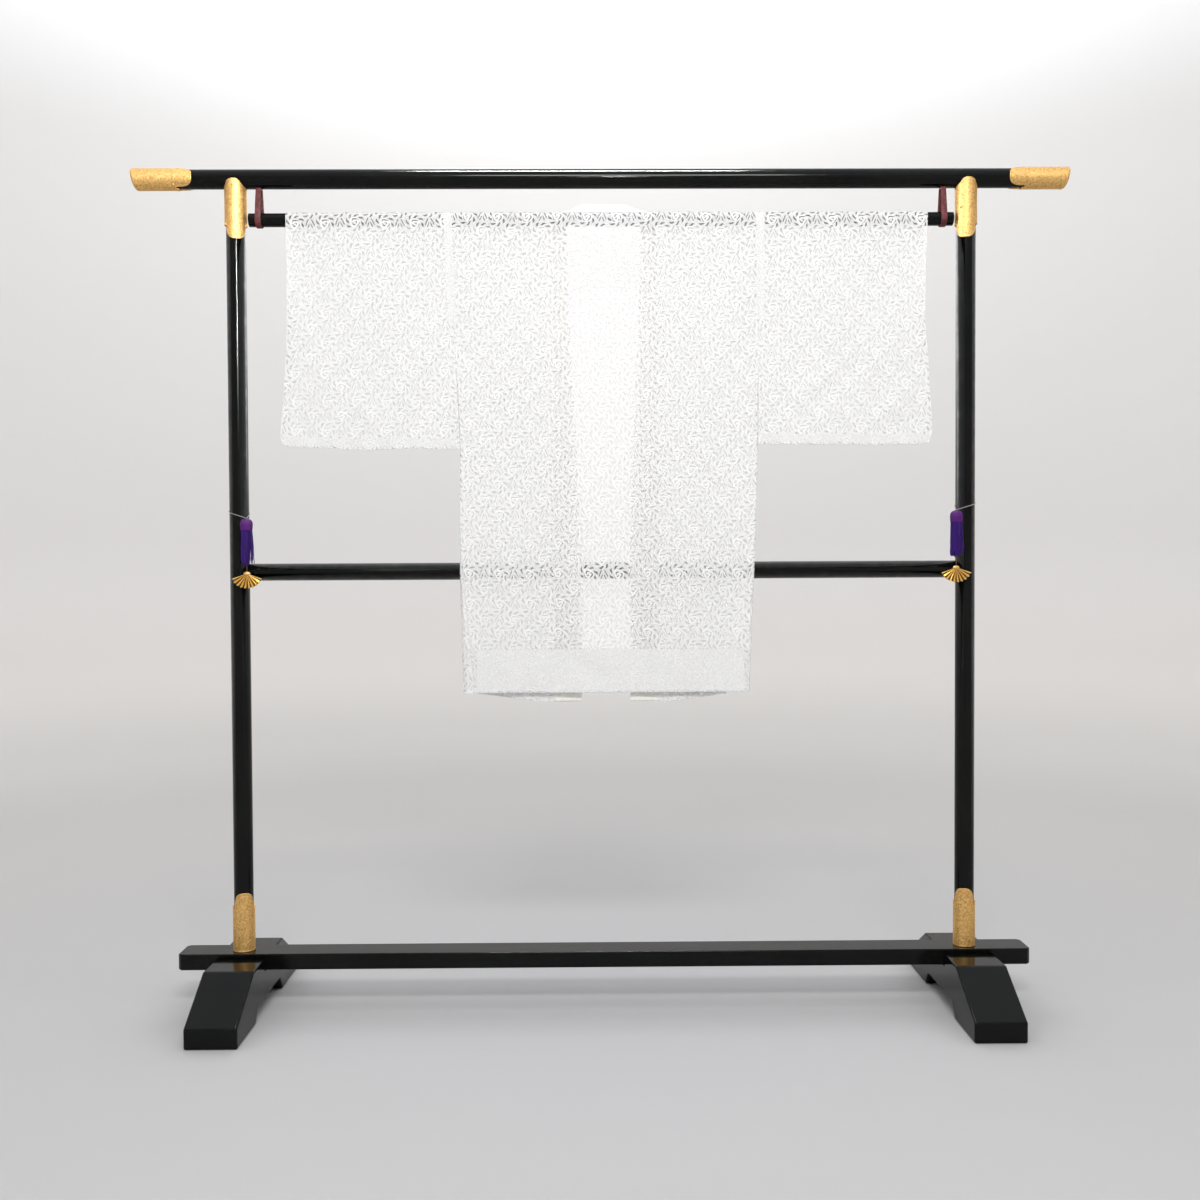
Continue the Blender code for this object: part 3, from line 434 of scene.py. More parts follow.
def tongue_reach(angle):
    """How far a fitting's edge reaches: a round tongue front and back, each between two nicks."""
    away = abs((angle + math.pi / 2) % math.pi - math.pi / 2)
    if away < TONGUE_HALF_ANGLE:
        return TONGUE_LENGTH * (1 - (away / TONGUE_HALF_ANGLE) ** 3) ** 0.40
    if away < NICK_HALF_ANGLE:
        return -NICK_DEPTH
    return 0.0


def rim_relief(distance):
    """How far the sheet stands up near its edge."""
    share = min(distance / RIM_WIDTH, 1.0)
    return RIM_HEIGHT * math.sin(math.pi * share) ** 0.7 if share < 1 else 0.0


def edge_shares(length):
    """Places along a stretch of sheet from one edge to the other, close together at its rims."""
    rim = RIM_ROWS[-1]
    inner = [rim + (length - 2 * rim) * step / SHEET_SPANS for step in range(1, SHEET_SPANS)]
    return list(RIM_ROWS) + inner + [length - row for row in reversed(RIM_ROWS)]


def upright_fitting(name, x, low_of, high_of, finish):
    """Sheet round a post, whose two edges are functions of the angle from the front."""
    angles = [2 * math.pi * step / FITTING_SIDES for step in range(FITTING_SIDES)]
    inner = post_radius + SADDLE_CLEARANCE

    def inner_ring(height_of):
        return [(x + inner * math.sin(angle), -inner * math.cos(angle), height_of(angle)) for angle in angles]

    rings = [inner_ring(low_of)]
    for row in range(SHEET_ROWS):
        ring = []
        for angle in angles:
            low, high = low_of(angle), high_of(angle)
            along = edge_shares(high - low)[row]
            radius = FITTING_RADIUS - RIM_HEIGHT + rim_relief(min(along, high - low - along))
            ring.append((x + radius * math.sin(angle), -radius * math.cos(angle), low + along))
        rings.append(ring)
    rings.append(inner_ring(high_of))
    return ring_piece(name, rings, finish, wrap=True)


def beam_cap(name, side, finish):
    """A sheet cap on the beam's end: tongued inner edge, raised end rim and a slanted, domed end."""
    angles = [2 * math.pi * step / FITTING_SIDES for step in range(FITTING_SIDES)]
    inner = beam_radius + SADDLE_CLEARANCE

    def end_x(rise):
        slant = CAP_END_SLANT / 2 * rise / beam_radius
        return beam_half + CAP_WALL - CAP_END_SLANT / 2 + slant

    def point(x, radius, angle):
        return (side * x, -radius * math.cos(angle), beam_axis_z + radius * math.sin(angle))

    def start_x(angle):
        return beam_half + CAP_WALL - CAP_LENGTH - tongue_reach(angle) + TONGUE_LENGTH

    rings = [[point(start_x(angle), inner, angle) for angle in angles]]
    for row in range(SHEET_ROWS):
        ring = []
        for angle in angles:
            start, stop = start_x(angle), end_x(FITTING_RADIUS * math.sin(angle)) - CAP_DOME
            along = edge_shares(stop - start)[row]
            rest = stop - start - along
            radius = FITTING_RADIUS - RIM_HEIGHT + rim_relief(along) - CAP_INSET
            if rest < CAP_RIM_WIDTH:
                fall = CAP_RIM_FALL * (rest / CAP_RIM_WIDTH) ** 4
                turn = CAP_TURN * (1 - min(rest / CAP_TURN_WIDTH, 1.0)) ** 2
                radius = FITTING_RADIUS - CAP_INSET - fall - turn
            ring.append(point(start + along, radius, angle))
        rings.append(ring)
    for share in CAP_DOME_RINGS:
        dome = CAP_DOME * share ** 2.6
        rings.append([point(end_x(FITTING_RADIUS * share * math.sin(angle)) - dome,
                            FITTING_RADIUS * share, angle) for angle in angles])
    for radius in (POLE_RADIUS, inner):
        rings.append([point(end_x(radius * math.sin(angle)) - CAP_WALL, radius, angle) for angle in angles])
    return ring_piece(name, rings, finish, wrap=True)


def nail_tree(finish):
    """Geometry nodes: a domed nail head on each point, turned to stand out from the sheet."""
    tree = bpy.data.node_groups.new("domed_nails", "GeometryNodeTree")
    tree.interface.new_socket("Points", in_out="INPUT", socket_type="NodeSocketGeometry")
    radius = tree.interface.new_socket("Head radius", in_out="INPUT", socket_type="NodeSocketFloat")
    tree.interface.new_socket("Nails", in_out="OUTPUT", socket_type="NodeSocketGeometry")
    source = tree.nodes.new("NodeGroupInput").outputs
    head = add_node(tree, "GeometryNodeMeshUVSphere", {"Segments": 16, "Rings": 10, "Radius": source[1]})
    dome = add_node(tree, "GeometryNodeTransform", {0: head, "Scale": (1.0, 1.0, 0.55)})
    facing = add_node(tree, "GeometryNodeInputNamedAttribute", {"Name": "facing"}, data_type="FLOAT_VECTOR")
    turn = add_node(tree, "FunctionNodeAlignRotationToVector", {"Vector": facing}, axis="Z")
    nails = add_node(tree, "GeometryNodeInstanceOnPoints", {"Points": source[0], "Instance": dome,
                                                          "Rotation": turn})
    real = add_node(tree, "GeometryNodeRealizeInstances", {0: nails})
    smooth = add_node(tree, "GeometryNodeSetShadeSmooth", {0: real})
    shown = add_node(tree, "GeometryNodeSetMaterial", {0: smooth, "Material": finish})
    add_node(tree, "NodeGroupOutput", {0: shown})
    return tree, radius.identifier


def add_beside(piece):
    """The piece rides with the stand, but stands for no CAD node."""
    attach(piece, "root")


def make_nails(name, places, finish):
    """One mesh of nail heads from pairs of place and facing direction."""
    mesh = bpy.data.meshes.new(name)
    mesh.from_pydata([place for place, facing in places], [], [])
    attribute = mesh.attributes.new("facing", "FLOAT_VECTOR", "POINT")
    attribute.data.foreach_set("vector", [value for place, facing in places for value in facing])
    nails = bpy.data.objects.new(name, mesh)
    bpy.context.scene.collection.objects.link(nails)
    tree, radius_socket = nail_tree(finish)
    modifier = nails.modifiers.new("Nails", "NODES")
    modifier.node_group = tree
    modifier[radius_socket] = NAIL_RADIUS
    add_beside(settle(nails))


gilt = gilt_sheet()
bottom_z = board_high.z + SADDLE_CLEARANCE
bottom_top_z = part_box("post_bottom_fitting_left")[1].z
nail_places = []


def nail_on_post(x, turn, height):
    facing = (math.sin(turn), -math.cos(turn), 0.0)
    reach = FITTING_RADIUS - RIM_HEIGHT
    nail_places.append(((x + facing[0] * reach, facing[1] * reach, height), facing))


def nail_on_beam(side, turn, inset):
    facing = (0.0, -math.cos(turn), math.sin(turn))
    reach = FITTING_RADIUS - RIM_HEIGHT
    place = (side * (beam_half + CAP_WALL - inset), facing[1] * reach, beam_axis_z + facing[2] * reach)
    nail_places.append((place, facing))


for word, side in (("left", -1), ("right", 1)):
    x = side * post_x

    def top_low(angle):
        return TOP_FITTING_LOW_Z + TONGUE_LENGTH - tongue_reach(angle + side * FITTING_TURN)

    def top_high(angle):
        return TOP_FITTING_PEAK_Z - TOP_FITTING_CROWN * (1 - abs(math.cos(angle)))

    def bottom_high(angle):
        return bottom_top_z - TONGUE_LENGTH + tongue_reach(angle + side * FITTING_TURN)

    name = "post_top_fitting_" + word
    fitting = upright_fitting(name + "_gilt", x, top_low, top_high, gilt)
    cut_round(fitting, (x, 0, beam_axis_z), beam_radius + SADDLE_CLEARANCE, "X")
    finish_piece(fitting, "gilt_brass", name)
    name = "post_bottom_fitting_" + word
    fitting = upright_fitting(name + "_gilt", x, lambda angle: bottom_z, bottom_high, gilt)
    finish_piece(fitting, "gilt_brass", name)
    finish_piece(beam_cap("beam_cap_" + word + "_gilt", side, gilt), "gilt_brass", "beam_cap_" + word)
    # Nails front and back: in each tongue, beside it and near the other edge
    for back in (0.0, math.pi):
        middle = back - side * FITTING_TURN
        nail_on_post(x, middle, TOP_FITTING_LOW_Z + 0.009)
        nail_on_post(x, middle - side * 0.45, TOP_FITTING_LOW_Z + 0.062)
        nail_on_post(x, back, TOP_FITTING_PEAK_Z - 0.014)
        nail_on_post(x, middle, bottom_top_z - 0.010)
        nail_on_post(x, back + 0.5, bottom_z + 0.012)
        nail_on_post(x, back - 0.5, bottom_z + 0.012)
        nail_on_beam(side, back, CAP_LENGTH - 0.012)
        nail_on_beam(side, back + 0.75, CAP_LENGTH - 0.038)
        nail_on_beam(side, back - 0.75, CAP_LENGTH - 0.038)
make_nails("fitting_nails", nail_places, gilt)

# Straps: flat bands of dark red leather, looped under the beam, that carry the loose rod. Their
# edges are rounded and darker, and they narrow a little where the beam pinches them.
STRAP_X = 0.7146
STRAP_WIDTH = 0.0125
STRAP_THICKNESS = 0.0024
STRAP_TOP_HALF_SPREAD = 0.006
STRAP_PINCH = 0.10
STRAP_DROP_STEPS = 24
STRAP_LOOP_STEPS = 40
STRAP_SIDES = 20


def red_leather():
    """Vegetable-tanned leather dyed dark red: satin, with a fine pebbled grain about 0.8 mm across."""
    finish, tree, shader = new_finish("dark_red_leather", Roughness=0.55, Specular_IOR_Level=0.3)
    place = add_node(tree, "ShaderNodeTexCoord", out="Object")
    grain = add_node(tree, "ShaderNodeTexVoronoi", {"Vector": place, "Scale": 1200.0})
    wear = add_node(tree, "ShaderNodeTexNoise", {"Vector": place, "Scale": 120.0, "Detail": 4.0})
    share = add_node(tree, "ShaderNodeMapRange", {0: wear, 1: 0.3, 2: 0.7})
    colour = add_node(tree, "ShaderNodeMix", {0: share, 6: linear("#4a1c1f"), 7: linear("#7c3a3c")}, out=2,
                      data_type="RGBA")
    normal = add_node(tree, "ShaderNodeBump", {"Height": grain, "Strength": 0.4, "Distance": 0.0002})
    tree.links.new(colour, shader.inputs["Base Color"])
    tree.links.new(normal, shader.inputs["Normal"])
    return finish


def between(low, high, share):
    return low + (high - low) * share


def make_strap(name, side, finish):
    """A rounded band swept from the beam's underside round the rod and up again."""
    top_y, top_z = STRAP_TOP_HALF_SPREAD, beam_low.z + SADDLE_CLEARANCE
    radius = rod_radius + SADDLE_CLEARANCE + STRAP_THICKNESS / 2
    path = []
    for step in range(STRAP_DROP_STEPS + 1):
        share = step / STRAP_DROP_STEPS
        path.append((-between(top_y, radius, share ** 0.8), between(top_z, rod_axis_z, share)))
    drop = list(path)
    for step in range(1, STRAP_LOOP_STEPS):
        angle = math.pi * step / STRAP_LOOP_STEPS
        path.append((-radius * math.cos(angle), rod_axis_z - radius * math.sin(angle)))
    path += [(-y, z) for y, z in reversed(drop)]
    rings = []
    for place, (y, z) in enumerate(path):
        before, after = path[max(place - 1, 0)], path[min(place + 1, len(path) - 1)]
        away = Vector((0, after[1] - before[1], before[0] - after[0])).normalized()
        pinch = 1 - STRAP_PINCH * min(max((z - rod_axis_z) / (top_z - rod_axis_z), 0.0), 1.0)
        half = STRAP_WIDTH / 2 * pinch
        ring = []
        for corner in range(STRAP_SIDES):
            turn = 2 * math.pi * corner / STRAP_SIDES
            flat = math.copysign(abs(math.cos(turn)) ** 0.35, math.cos(turn))
            thick = math.copysign(abs(math.sin(turn)) ** 0.8, math.sin(turn)) * STRAP_THICKNESS / 2
            ring.append(Vector((side * STRAP_X + flat * half, y, z)) + away * thick)
        rings.append(ring)
    return ring_piece(name, rings, finish)


leather = red_leather()
for word, side in (("left", -1), ("right", 1)):
    finish_piece(make_strap("strap_" + word + "_band", side, leather), "strap_leather", "strap_" + word)

# Ornament threads: a two-ply grey-mauve thread looped round each post. It runs aslant across the
# post's front and over the top of the tassel that it carries.
THREAD_RADIUS = 0.0008
THREAD_TURN_RADIUS = 0.0012
THREAD_RISE = 0.013
THREAD_LAY = 0.0045
THREAD_STEP = 0.0011
THREAD_LOOP_STEPS = 90
THREAD_TURN_STEPS = 8
# A ply's distance from the thread's middle and its own radius, as shares of the thread's radius
PLY_SHIFT = 0.45
PLY_RADIUS = 0.55
PLY_SIDES = 6
TASSEL_RADIUS = 0.013
TASSEL_CLEARANCE = 0.0015
# Where the left (-1) and the right (1) ornament hang
ORNAMENT_X = {-1: 0.7395, 1: 0.7348}
TASSEL_TOP_Z = {-1: 1.031, 1: 1.042}


def fibre(name, dark, pale, scale, **sockets):
    """Twisted fibre: matte, streaked between a dark and a pale shade."""
    finish, tree, shader = new_finish(name, **sockets)
    place = add_node(tree, "ShaderNodeTexCoord", out="Object")
    streaks = add_node(tree, "ShaderNodeTexNoise", {"Vector": place, "Scale": scale, "Detail": 3.0})
    share = add_node(tree, "ShaderNodeMapRange", {0: streaks, 1: 0.3, 2: 0.7})
    colour = add_node(tree, "ShaderNodeMix", {0: share, 6: linear(dark), 7: linear(pale)}, out=2,
                      data_type="RGBA")
    normal = add_node(tree, "ShaderNodeBump", {"Height": streaks, "Strength": 0.5, "Distance": 0.0002})
    tree.links.new(colour, shader.inputs["Base Color"])
    tree.links.new(normal, shader.inputs["Normal"])
    return finish


def ornament_axis(side):
    return side * ORNAMENT_X[side], -(post_radius + TASSEL_RADIUS + TASSEL_CLEARANCE)


def ply_piece(name, path, finish, closed=False):
    """Two plies twisted round a path, as one mesh of two tubes."""
    points, faces = [], []
    lengths = [0.0]
    for start, stop in zip(path, path[1:]):
        lengths.append(lengths[-1] + (stop - start).length)
    turns = max(round(lengths[-1] / THREAD_LAY), 1)
    count = len(path) - 1 if closed else len(path)
    for ply in (0, 1):
        first = len(points)
        for place in range(count):
            ahead = path[(place + 1) % len(path)] if closed or place + 1 < len(path) else path[place]
            behind = path[place - 1] if place else (path[-2] if closed else path[0])
            tangent = (ahead - behind).normalized()
            across = tangent.cross(Vector((0.13, 0.21, 0.97)) if abs(tangent.z) < 0.8 else Vector((1, 0, 0)))
            across.normalize()
            upward = tangent.cross(across)
            twist = 2 * math.pi * (turns * lengths[place] / lengths[-1] + ply / 2)
            outward = across * math.cos(twist) + upward * math.sin(twist)
            centre = path[place] + outward * THREAD_RADIUS * PLY_SHIFT
            for corner in range(PLY_SIDES):
                spin = 2 * math.pi * corner / PLY_SIDES
                outward = across * math.cos(spin) + upward * math.sin(spin)
                points.append(centre + outward * THREAD_RADIUS * PLY_RADIUS)
        for place in range(count if closed else count - 1):
            here, there = first + place * PLY_SIDES, first + (place + 1) % count * PLY_SIDES
            for corner in range(PLY_SIDES):
                after = (corner + 1) % PLY_SIDES
                faces.append((here + corner, here + after, there + after, there + corner))
        if not closed:
            faces.append(tuple(range(first, first + PLY_SIDES)))
            faces.append(tuple(range(first + (count - 1) * PLY_SIDES, first + count * PLY_SIDES)))
    return add_piece(name, points, faces, finish, smooth_angle=80)


def straight(start, stop):
    """Points along a straight stretch of thread, after its start and up to its end."""
    steps = math.ceil((stop - start).length / THREAD_STEP)
    return [start.lerp(stop, step / steps) for step in range(1, steps + 1)]


def make_thread(name, side, finish):
    """A closed loop round the post and the tassel's top, straight in between."""
    x, y = ornament_axis(side)
    post, tassel = Vector((side * post_x, 0, 0)), Vector((x, y, 0))
    reach = (tassel - post).length
    facing = math.atan2(tassel.y - post.y, tassel.x - post.x)
    around = post_radius + SADDLE_CLEARANCE + THREAD_RADIUS
    tangent = math.acos((around - THREAD_TURN_RADIUS) / reach)
    corners = [(post, around, between(tangent, 2 * math.pi - tangent, step / THREAD_LOOP_STEPS))
               for step in range(THREAD_LOOP_STEPS + 1)]
    corners += [(tassel, THREAD_TURN_RADIUS, between(-tangent, tangent, step / THREAD_TURN_STEPS))
                for step in range(THREAD_TURN_STEPS + 1)]
    lowest = TASSEL_TOP_Z[side] + 2 * SADDLE_CLEARANCE + THREAD_RADIUS
    path = []
    for centre, radius, turn in corners:
        point = centre + Vector((math.cos(facing + turn), math.sin(facing + turn), 0)) * radius
        share = (point - tassel).dot(post - tassel) / reach ** 2
        point.z = lowest + THREAD_RISE * share
        if path and (point - path[-1]).length > 3 * THREAD_STEP:
            path += straight(path[-1], point)[:-1]
        path.append(point)
    path += straight(path[-1], path[0])
    return ply_piece(name, path, finish, closed=True)


mauve_thread = fibre("mauve_thread", "#988d95", "#c8bfc5", 900.0, Roughness=0.8)
for word, side in (("left", -1), ("right", 1)):
    finish_piece(make_thread("thread_" + word + "_twisted", side, mauve_thread), "thread",
                 "ornament_thread_" + word)

# Tassels: violet silk, a bound head whose yarn is folded over and tied, with loose strands below
# that hang close together, bend a little and end unevenly.
TASSEL_LENGTH = 0.095
TASSEL_STRANDS = 230
STRAND_RADIUS = 0.00062
STRAND_ROOT_DEPTH = 0.016
STRAND_ROOT_RISE = 0.004
STRAND_REACH = 0.0112
STRAND_STRAY = 0.0050
# Depth below the tassel's top and radius of its bound head
TASSEL_HEAD = (
    (0.0000, 0.0016), (0.0006, 0.0052), (0.0020, 0.0084), (0.0045, 0.0107),
    (0.0075, 0.0120), (0.0105, 0.0125), (0.0130, 0.0126), (0.0150, 0.0125),
    (0.0170, 0.0123), (0.0190, 0.0121), (0.0210, 0.0120), (0.0240, 0.0118),
)
HEAD_SIDES = 96
HEAD_FLUTES = 30
HEAD_FLUTE_DEPTH = 0.035
# The outermost strands on the right stand away by about this much at their ends, and the others
# lean to the left and draw together by these shares
LOOSE_STRAND_DRIFT = 0.0030
LOOSE_STRAND_SPREAD = 0.0020
STRAND_LEAN = 0.0025
DRAW_ASIDE = 0.20
DRAW_AHEAD = 0.15


def strand_tree(finish):
    """Geometry nodes: a bent silk strand hung from each point, which strays and drifts towards its end."""
    tree = bpy.data.node_groups.new("silk_strands", "GeometryNodeTree")
    tree.interface.new_socket("Roots", in_out="INPUT", socket_type="NodeSocketGeometry")
    sockets = [tree.interface.new_socket(name, in_out="INPUT", socket_type="NodeSocketFloat")
               for name in ("Length", "Strand radius", "Stray")]
    tree.interface.new_socket("Strands", in_out="OUTPUT", socket_type="NodeSocketGeometry")
    source = tree.nodes.new("NodeGroupInput").outputs
    down = add_node(tree, "ShaderNodeMath", {0: source["Length"], 1: -1.0}, operation="MULTIPLY")
    end = add_node(tree, "ShaderNodeCombineXYZ", {"Z": down})
    line = add_node(tree, "GeometryNodeCurvePrimitiveLine", {"End": end})
    line = add_node(tree, "GeometryNodeResampleCurve", {"Curve": line, "Count": 15})
    uneven = add_node(tree, "FunctionNodeRandomValue", {2: 0.84, 3: 1.0, "Seed": 4}, out=1, data_type="FLOAT")
    stretch = add_node(tree, "ShaderNodeCombineXYZ", {"X": 1.0, "Y": 1.0, "Z": uneven})
    strands = add_node(tree, "GeometryNodeInstanceOnPoints", {"Points": source["Roots"], "Instance": line,
                                                            "Scale": stretch})
    real = add_node(tree, "GeometryNodeRealizeInstances", {0: strands})
    share = add_node(tree, "GeometryNodeSplineParameter", out="Factor")
    place = add_node(tree, "GeometryNodeInputPosition")
    waves = add_node(tree, "ShaderNodeTexNoise", {"Vector": place, "Scale": 46.0, "Detail": 1.0}, out=1)
    waves = add_node(tree, "ShaderNodeVectorMath", {0: waves, 1: (0.5, 0.5, 0.5)}, operation="SUBTRACT")
    strand = add_node(tree, "GeometryNodeCurveOfPoint", out=0)
    alone = add_node(tree, "FunctionNodeRandomValue", {0: (-1.0, -1.0, 0.0), 1: (1.0, 1.0, 0.0), "Seed": 9,
                                                      "ID": strand}, data_type="FLOAT_VECTOR")
    alone = add_node(tree, "ShaderNodeVectorMath", {0: alone, "Scale": 0.30}, operation="SCALE")
    waves = add_node(tree, "ShaderNodeVectorMath", {0: waves, 1: alone}, operation="ADD")
    reach = add_node(tree, "ShaderNodeMath", {0: share, 1: source["Stray"]}, operation="MULTIPLY")
    offset = add_node(tree, "ShaderNodeVectorMath", {0: waves, "Scale": reach}, operation="SCALE")
    offset = add_node(tree, "ShaderNodeVectorMath", {0: offset, 1: (1.0, 1.0, 0.0)}, operation="MULTIPLY")
    drift = add_node(tree, "GeometryNodeInputNamedAttribute", {"Name": "drift"}, data_type="FLOAT_VECTOR")
    drift = add_node(tree, "ShaderNodeVectorMath", {0: drift, "Scale": share}, operation="SCALE")
    offset = add_node(tree, "ShaderNodeVectorMath", {0: offset, 1: drift}, operation="ADD")
    bent = add_node(tree, "GeometryNodeSetPosition", {"Geometry": real, "Offset": offset})
    profile = add_node(tree, "GeometryNodeCurvePrimitiveCircle", {"Resolution": 5,
                                                                 "Radius": source["Strand radius"]})
    tubes = add_node(tree, "GeometryNodeCurveToMesh", {"Curve": bent, "Profile Curve": profile,
                                                     "Fill Caps": True})
    smooth = add_node(tree, "GeometryNodeSetShadeSmooth", {0: tubes})
    shown = add_node(tree, "GeometryNodeSetMaterial", {0: smooth, "Material": finish})
    add_node(tree, "NodeGroupOutput", {0: shown})
    return tree, [socket.identifier for socket in sockets]


def make_tassel(name, side, head_silk, tree, identifiers):
    x, y = ornament_axis(side)
    top = TASSEL_TOP_Z[side]
    rings = []
    for depth, radius in TASSEL_HEAD:
        fluting = HEAD_FLUTE_DEPTH if depth > 0.001 else 0.0
        ring = []
        for point in circle((0, 0, 0), 1.0, "Z", HEAD_SIDES):
            turn = math.atan2(point.y, point.x)
            wide = radius * (1 + fluting * math.cos(HEAD_FLUTES * turn + 60 * depth))
            ring.append((x + wide * point.x, y + wide * point.y, top - depth))
        rings.append(ring)
    head = ring_piece(name + "_silk", rings, head_silk, smooth_angle=70)
    roots, drifts = [], []
    golden = math.pi * (3 - math.sqrt(5))
    for strand in range(TASSEL_STRANDS):
        reach = STRAND_REACH * math.sqrt((strand + 0.5) / TASSEL_STRANDS)
        aside, ahead = reach * math.cos(golden * strand), reach * math.sin(golden * strand)
        deeper = STRAND_ROOT_RISE * (1 - reach / STRAND_REACH)
        roots.append((x + aside, y + ahead, top - STRAND_ROOT_DEPTH - deeper))
        if aside > 0.80 * STRAND_REACH:
            drifts.append((LOOSE_STRAND_DRIFT + LOOSE_STRAND_SPREAD * math.sin(strand), -0.001, 0.0))
        else:
            drifts.append((-STRAND_LEAN - DRAW_ASIDE * aside, -DRAW_AHEAD * ahead, 0.0))
    mesh = bpy.data.meshes.new(name + "_strands")
    mesh.from_pydata(roots, [], [])
    drift = mesh.attributes.new("drift", "FLOAT_VECTOR", "POINT")
    drift.data.foreach_set("vector", [value for move in drifts for value in move])
    strands = bpy.data.objects.new(name + "_strands", mesh)
    bpy.context.scene.collection.objects.link(strands)
    modifier = strands.modifiers.new("Strands", "NODES")
    modifier.node_group = tree
    sizes = (TASSEL_LENGTH - STRAND_ROOT_DEPTH, STRAND_RADIUS, STRAND_STRAY)
    for identifier, value in zip(identifiers, sizes):
        modifier[identifier] = value
    add_beside(settle(strands))
    finish_piece(head, "tassel_silk", name)


violet_silk = fibre("violet_silk", "#200a4a", "#48208a", 700.0, Roughness=0.5, Specular_IOR_Level=0.2)
magenta_silk = fibre("magenta_silk", "#3a0e52", "#642480", 700.0, Roughness=0.5, Specular_IOR_Level=0.2)
strand_nodes, strand_sockets = strand_tree(violet_silk)
for word, side in (("left", -1), ("right", 1)):
    make_tassel("tassel_" + word, side, magenta_silk, strand_nodes, strand_sockets)

# Small fans: pleated gilt card spread below each tassel, pinched at a domed pivot and hung from
# the tassel's head by a thin brown cord.
# Height of the left (-1) and the right (1) fan's pivot
FAN_PIVOT_Z = {-1: 0.917, 1: 0.923}
FAN_RADIUS = 0.0335
FAN_MIDDLE_RADIUS = 0.031
FAN_PLEATS = 9
FAN_HALF_SPREAD = math.radians(71)
FAN_PLEAT_DEPTH = 0.0026
FAN_NOTCH_SHARE = 0.07
FAN_SWAY = 0.0006
FAN_SHEET = 0.0005
FAN_INNER_REACH = 0.0035
FAN_REACH_STEPS = 10
# The pivot's dome, wider than it is high
KNOB_RADIUS = 0.0052
KNOB_HALF_DEPTH = 0.0033
KNOB_WIDTH_SHARE = 1.35
KNOB_HEIGHT_SHARE = 0.8
KNOB_STEPS = 12
KNOB_SIDES = 32
FAN_CORD_START = 0.004
FAN_CORD_STEPS = 90


def gilt_card():
    """Gilt card: yellower than the sheet fittings, with faint fibres, and painted shade in dark brown down
    the valleys of its pleats.
    """
    finish, tree, shader = new_finish("gilt_card", Metallic=0.65, Roughness=0.25)
    place = add_node(tree, "ShaderNodeTexCoord", out="Object")
    # Painted shade: the pleats' valleys, which turn away, are darkened to brown.
    pleat_shade = add_node(tree, "ShaderNodeAttribute", out="Fac", attribute_name="pleat_shade")
    unshaded_share = add_node(tree, "ShaderNodeMapRange", {0: pleat_shade, 1: 0.12, 2: 0.60})
    fibres = add_node(tree, "ShaderNodeTexNoise", {"Vector": place, "Scale": 380.0, "Detail": 3.0})
    share = add_node(tree, "ShaderNodeMapRange", {0: fibres, 1: 0.3, 2: 0.7})
    colour = add_node(tree, "ShaderNodeMix", {0: share, 6: linear("#f6b640"), 7: linear("#ffe79a")}, out=2,
                      data_type="RGBA")
    colour = add_node(tree, "ShaderNodeMix", {0: unshaded_share, 6: linear("#4e2606"), 7: colour}, out=2,
                      data_type="RGBA")
    normal = add_node(tree, "ShaderNodeBump", {"Height": fibres, "Strength": 0.35, "Distance": 0.0002})
    tree.links.new(colour, shader.inputs["Base Color"])
    tree.links.new(normal, shader.inputs["Normal"])
    return finish


def thicken(piece, thickness):
    """Give a sheet of faces its thickness, half on each side."""
    thick = piece.modifiers.new("Thickness", "SOLIDIFY")
    thick.thickness = thickness
    thick.offset = 0
    settle(piece)


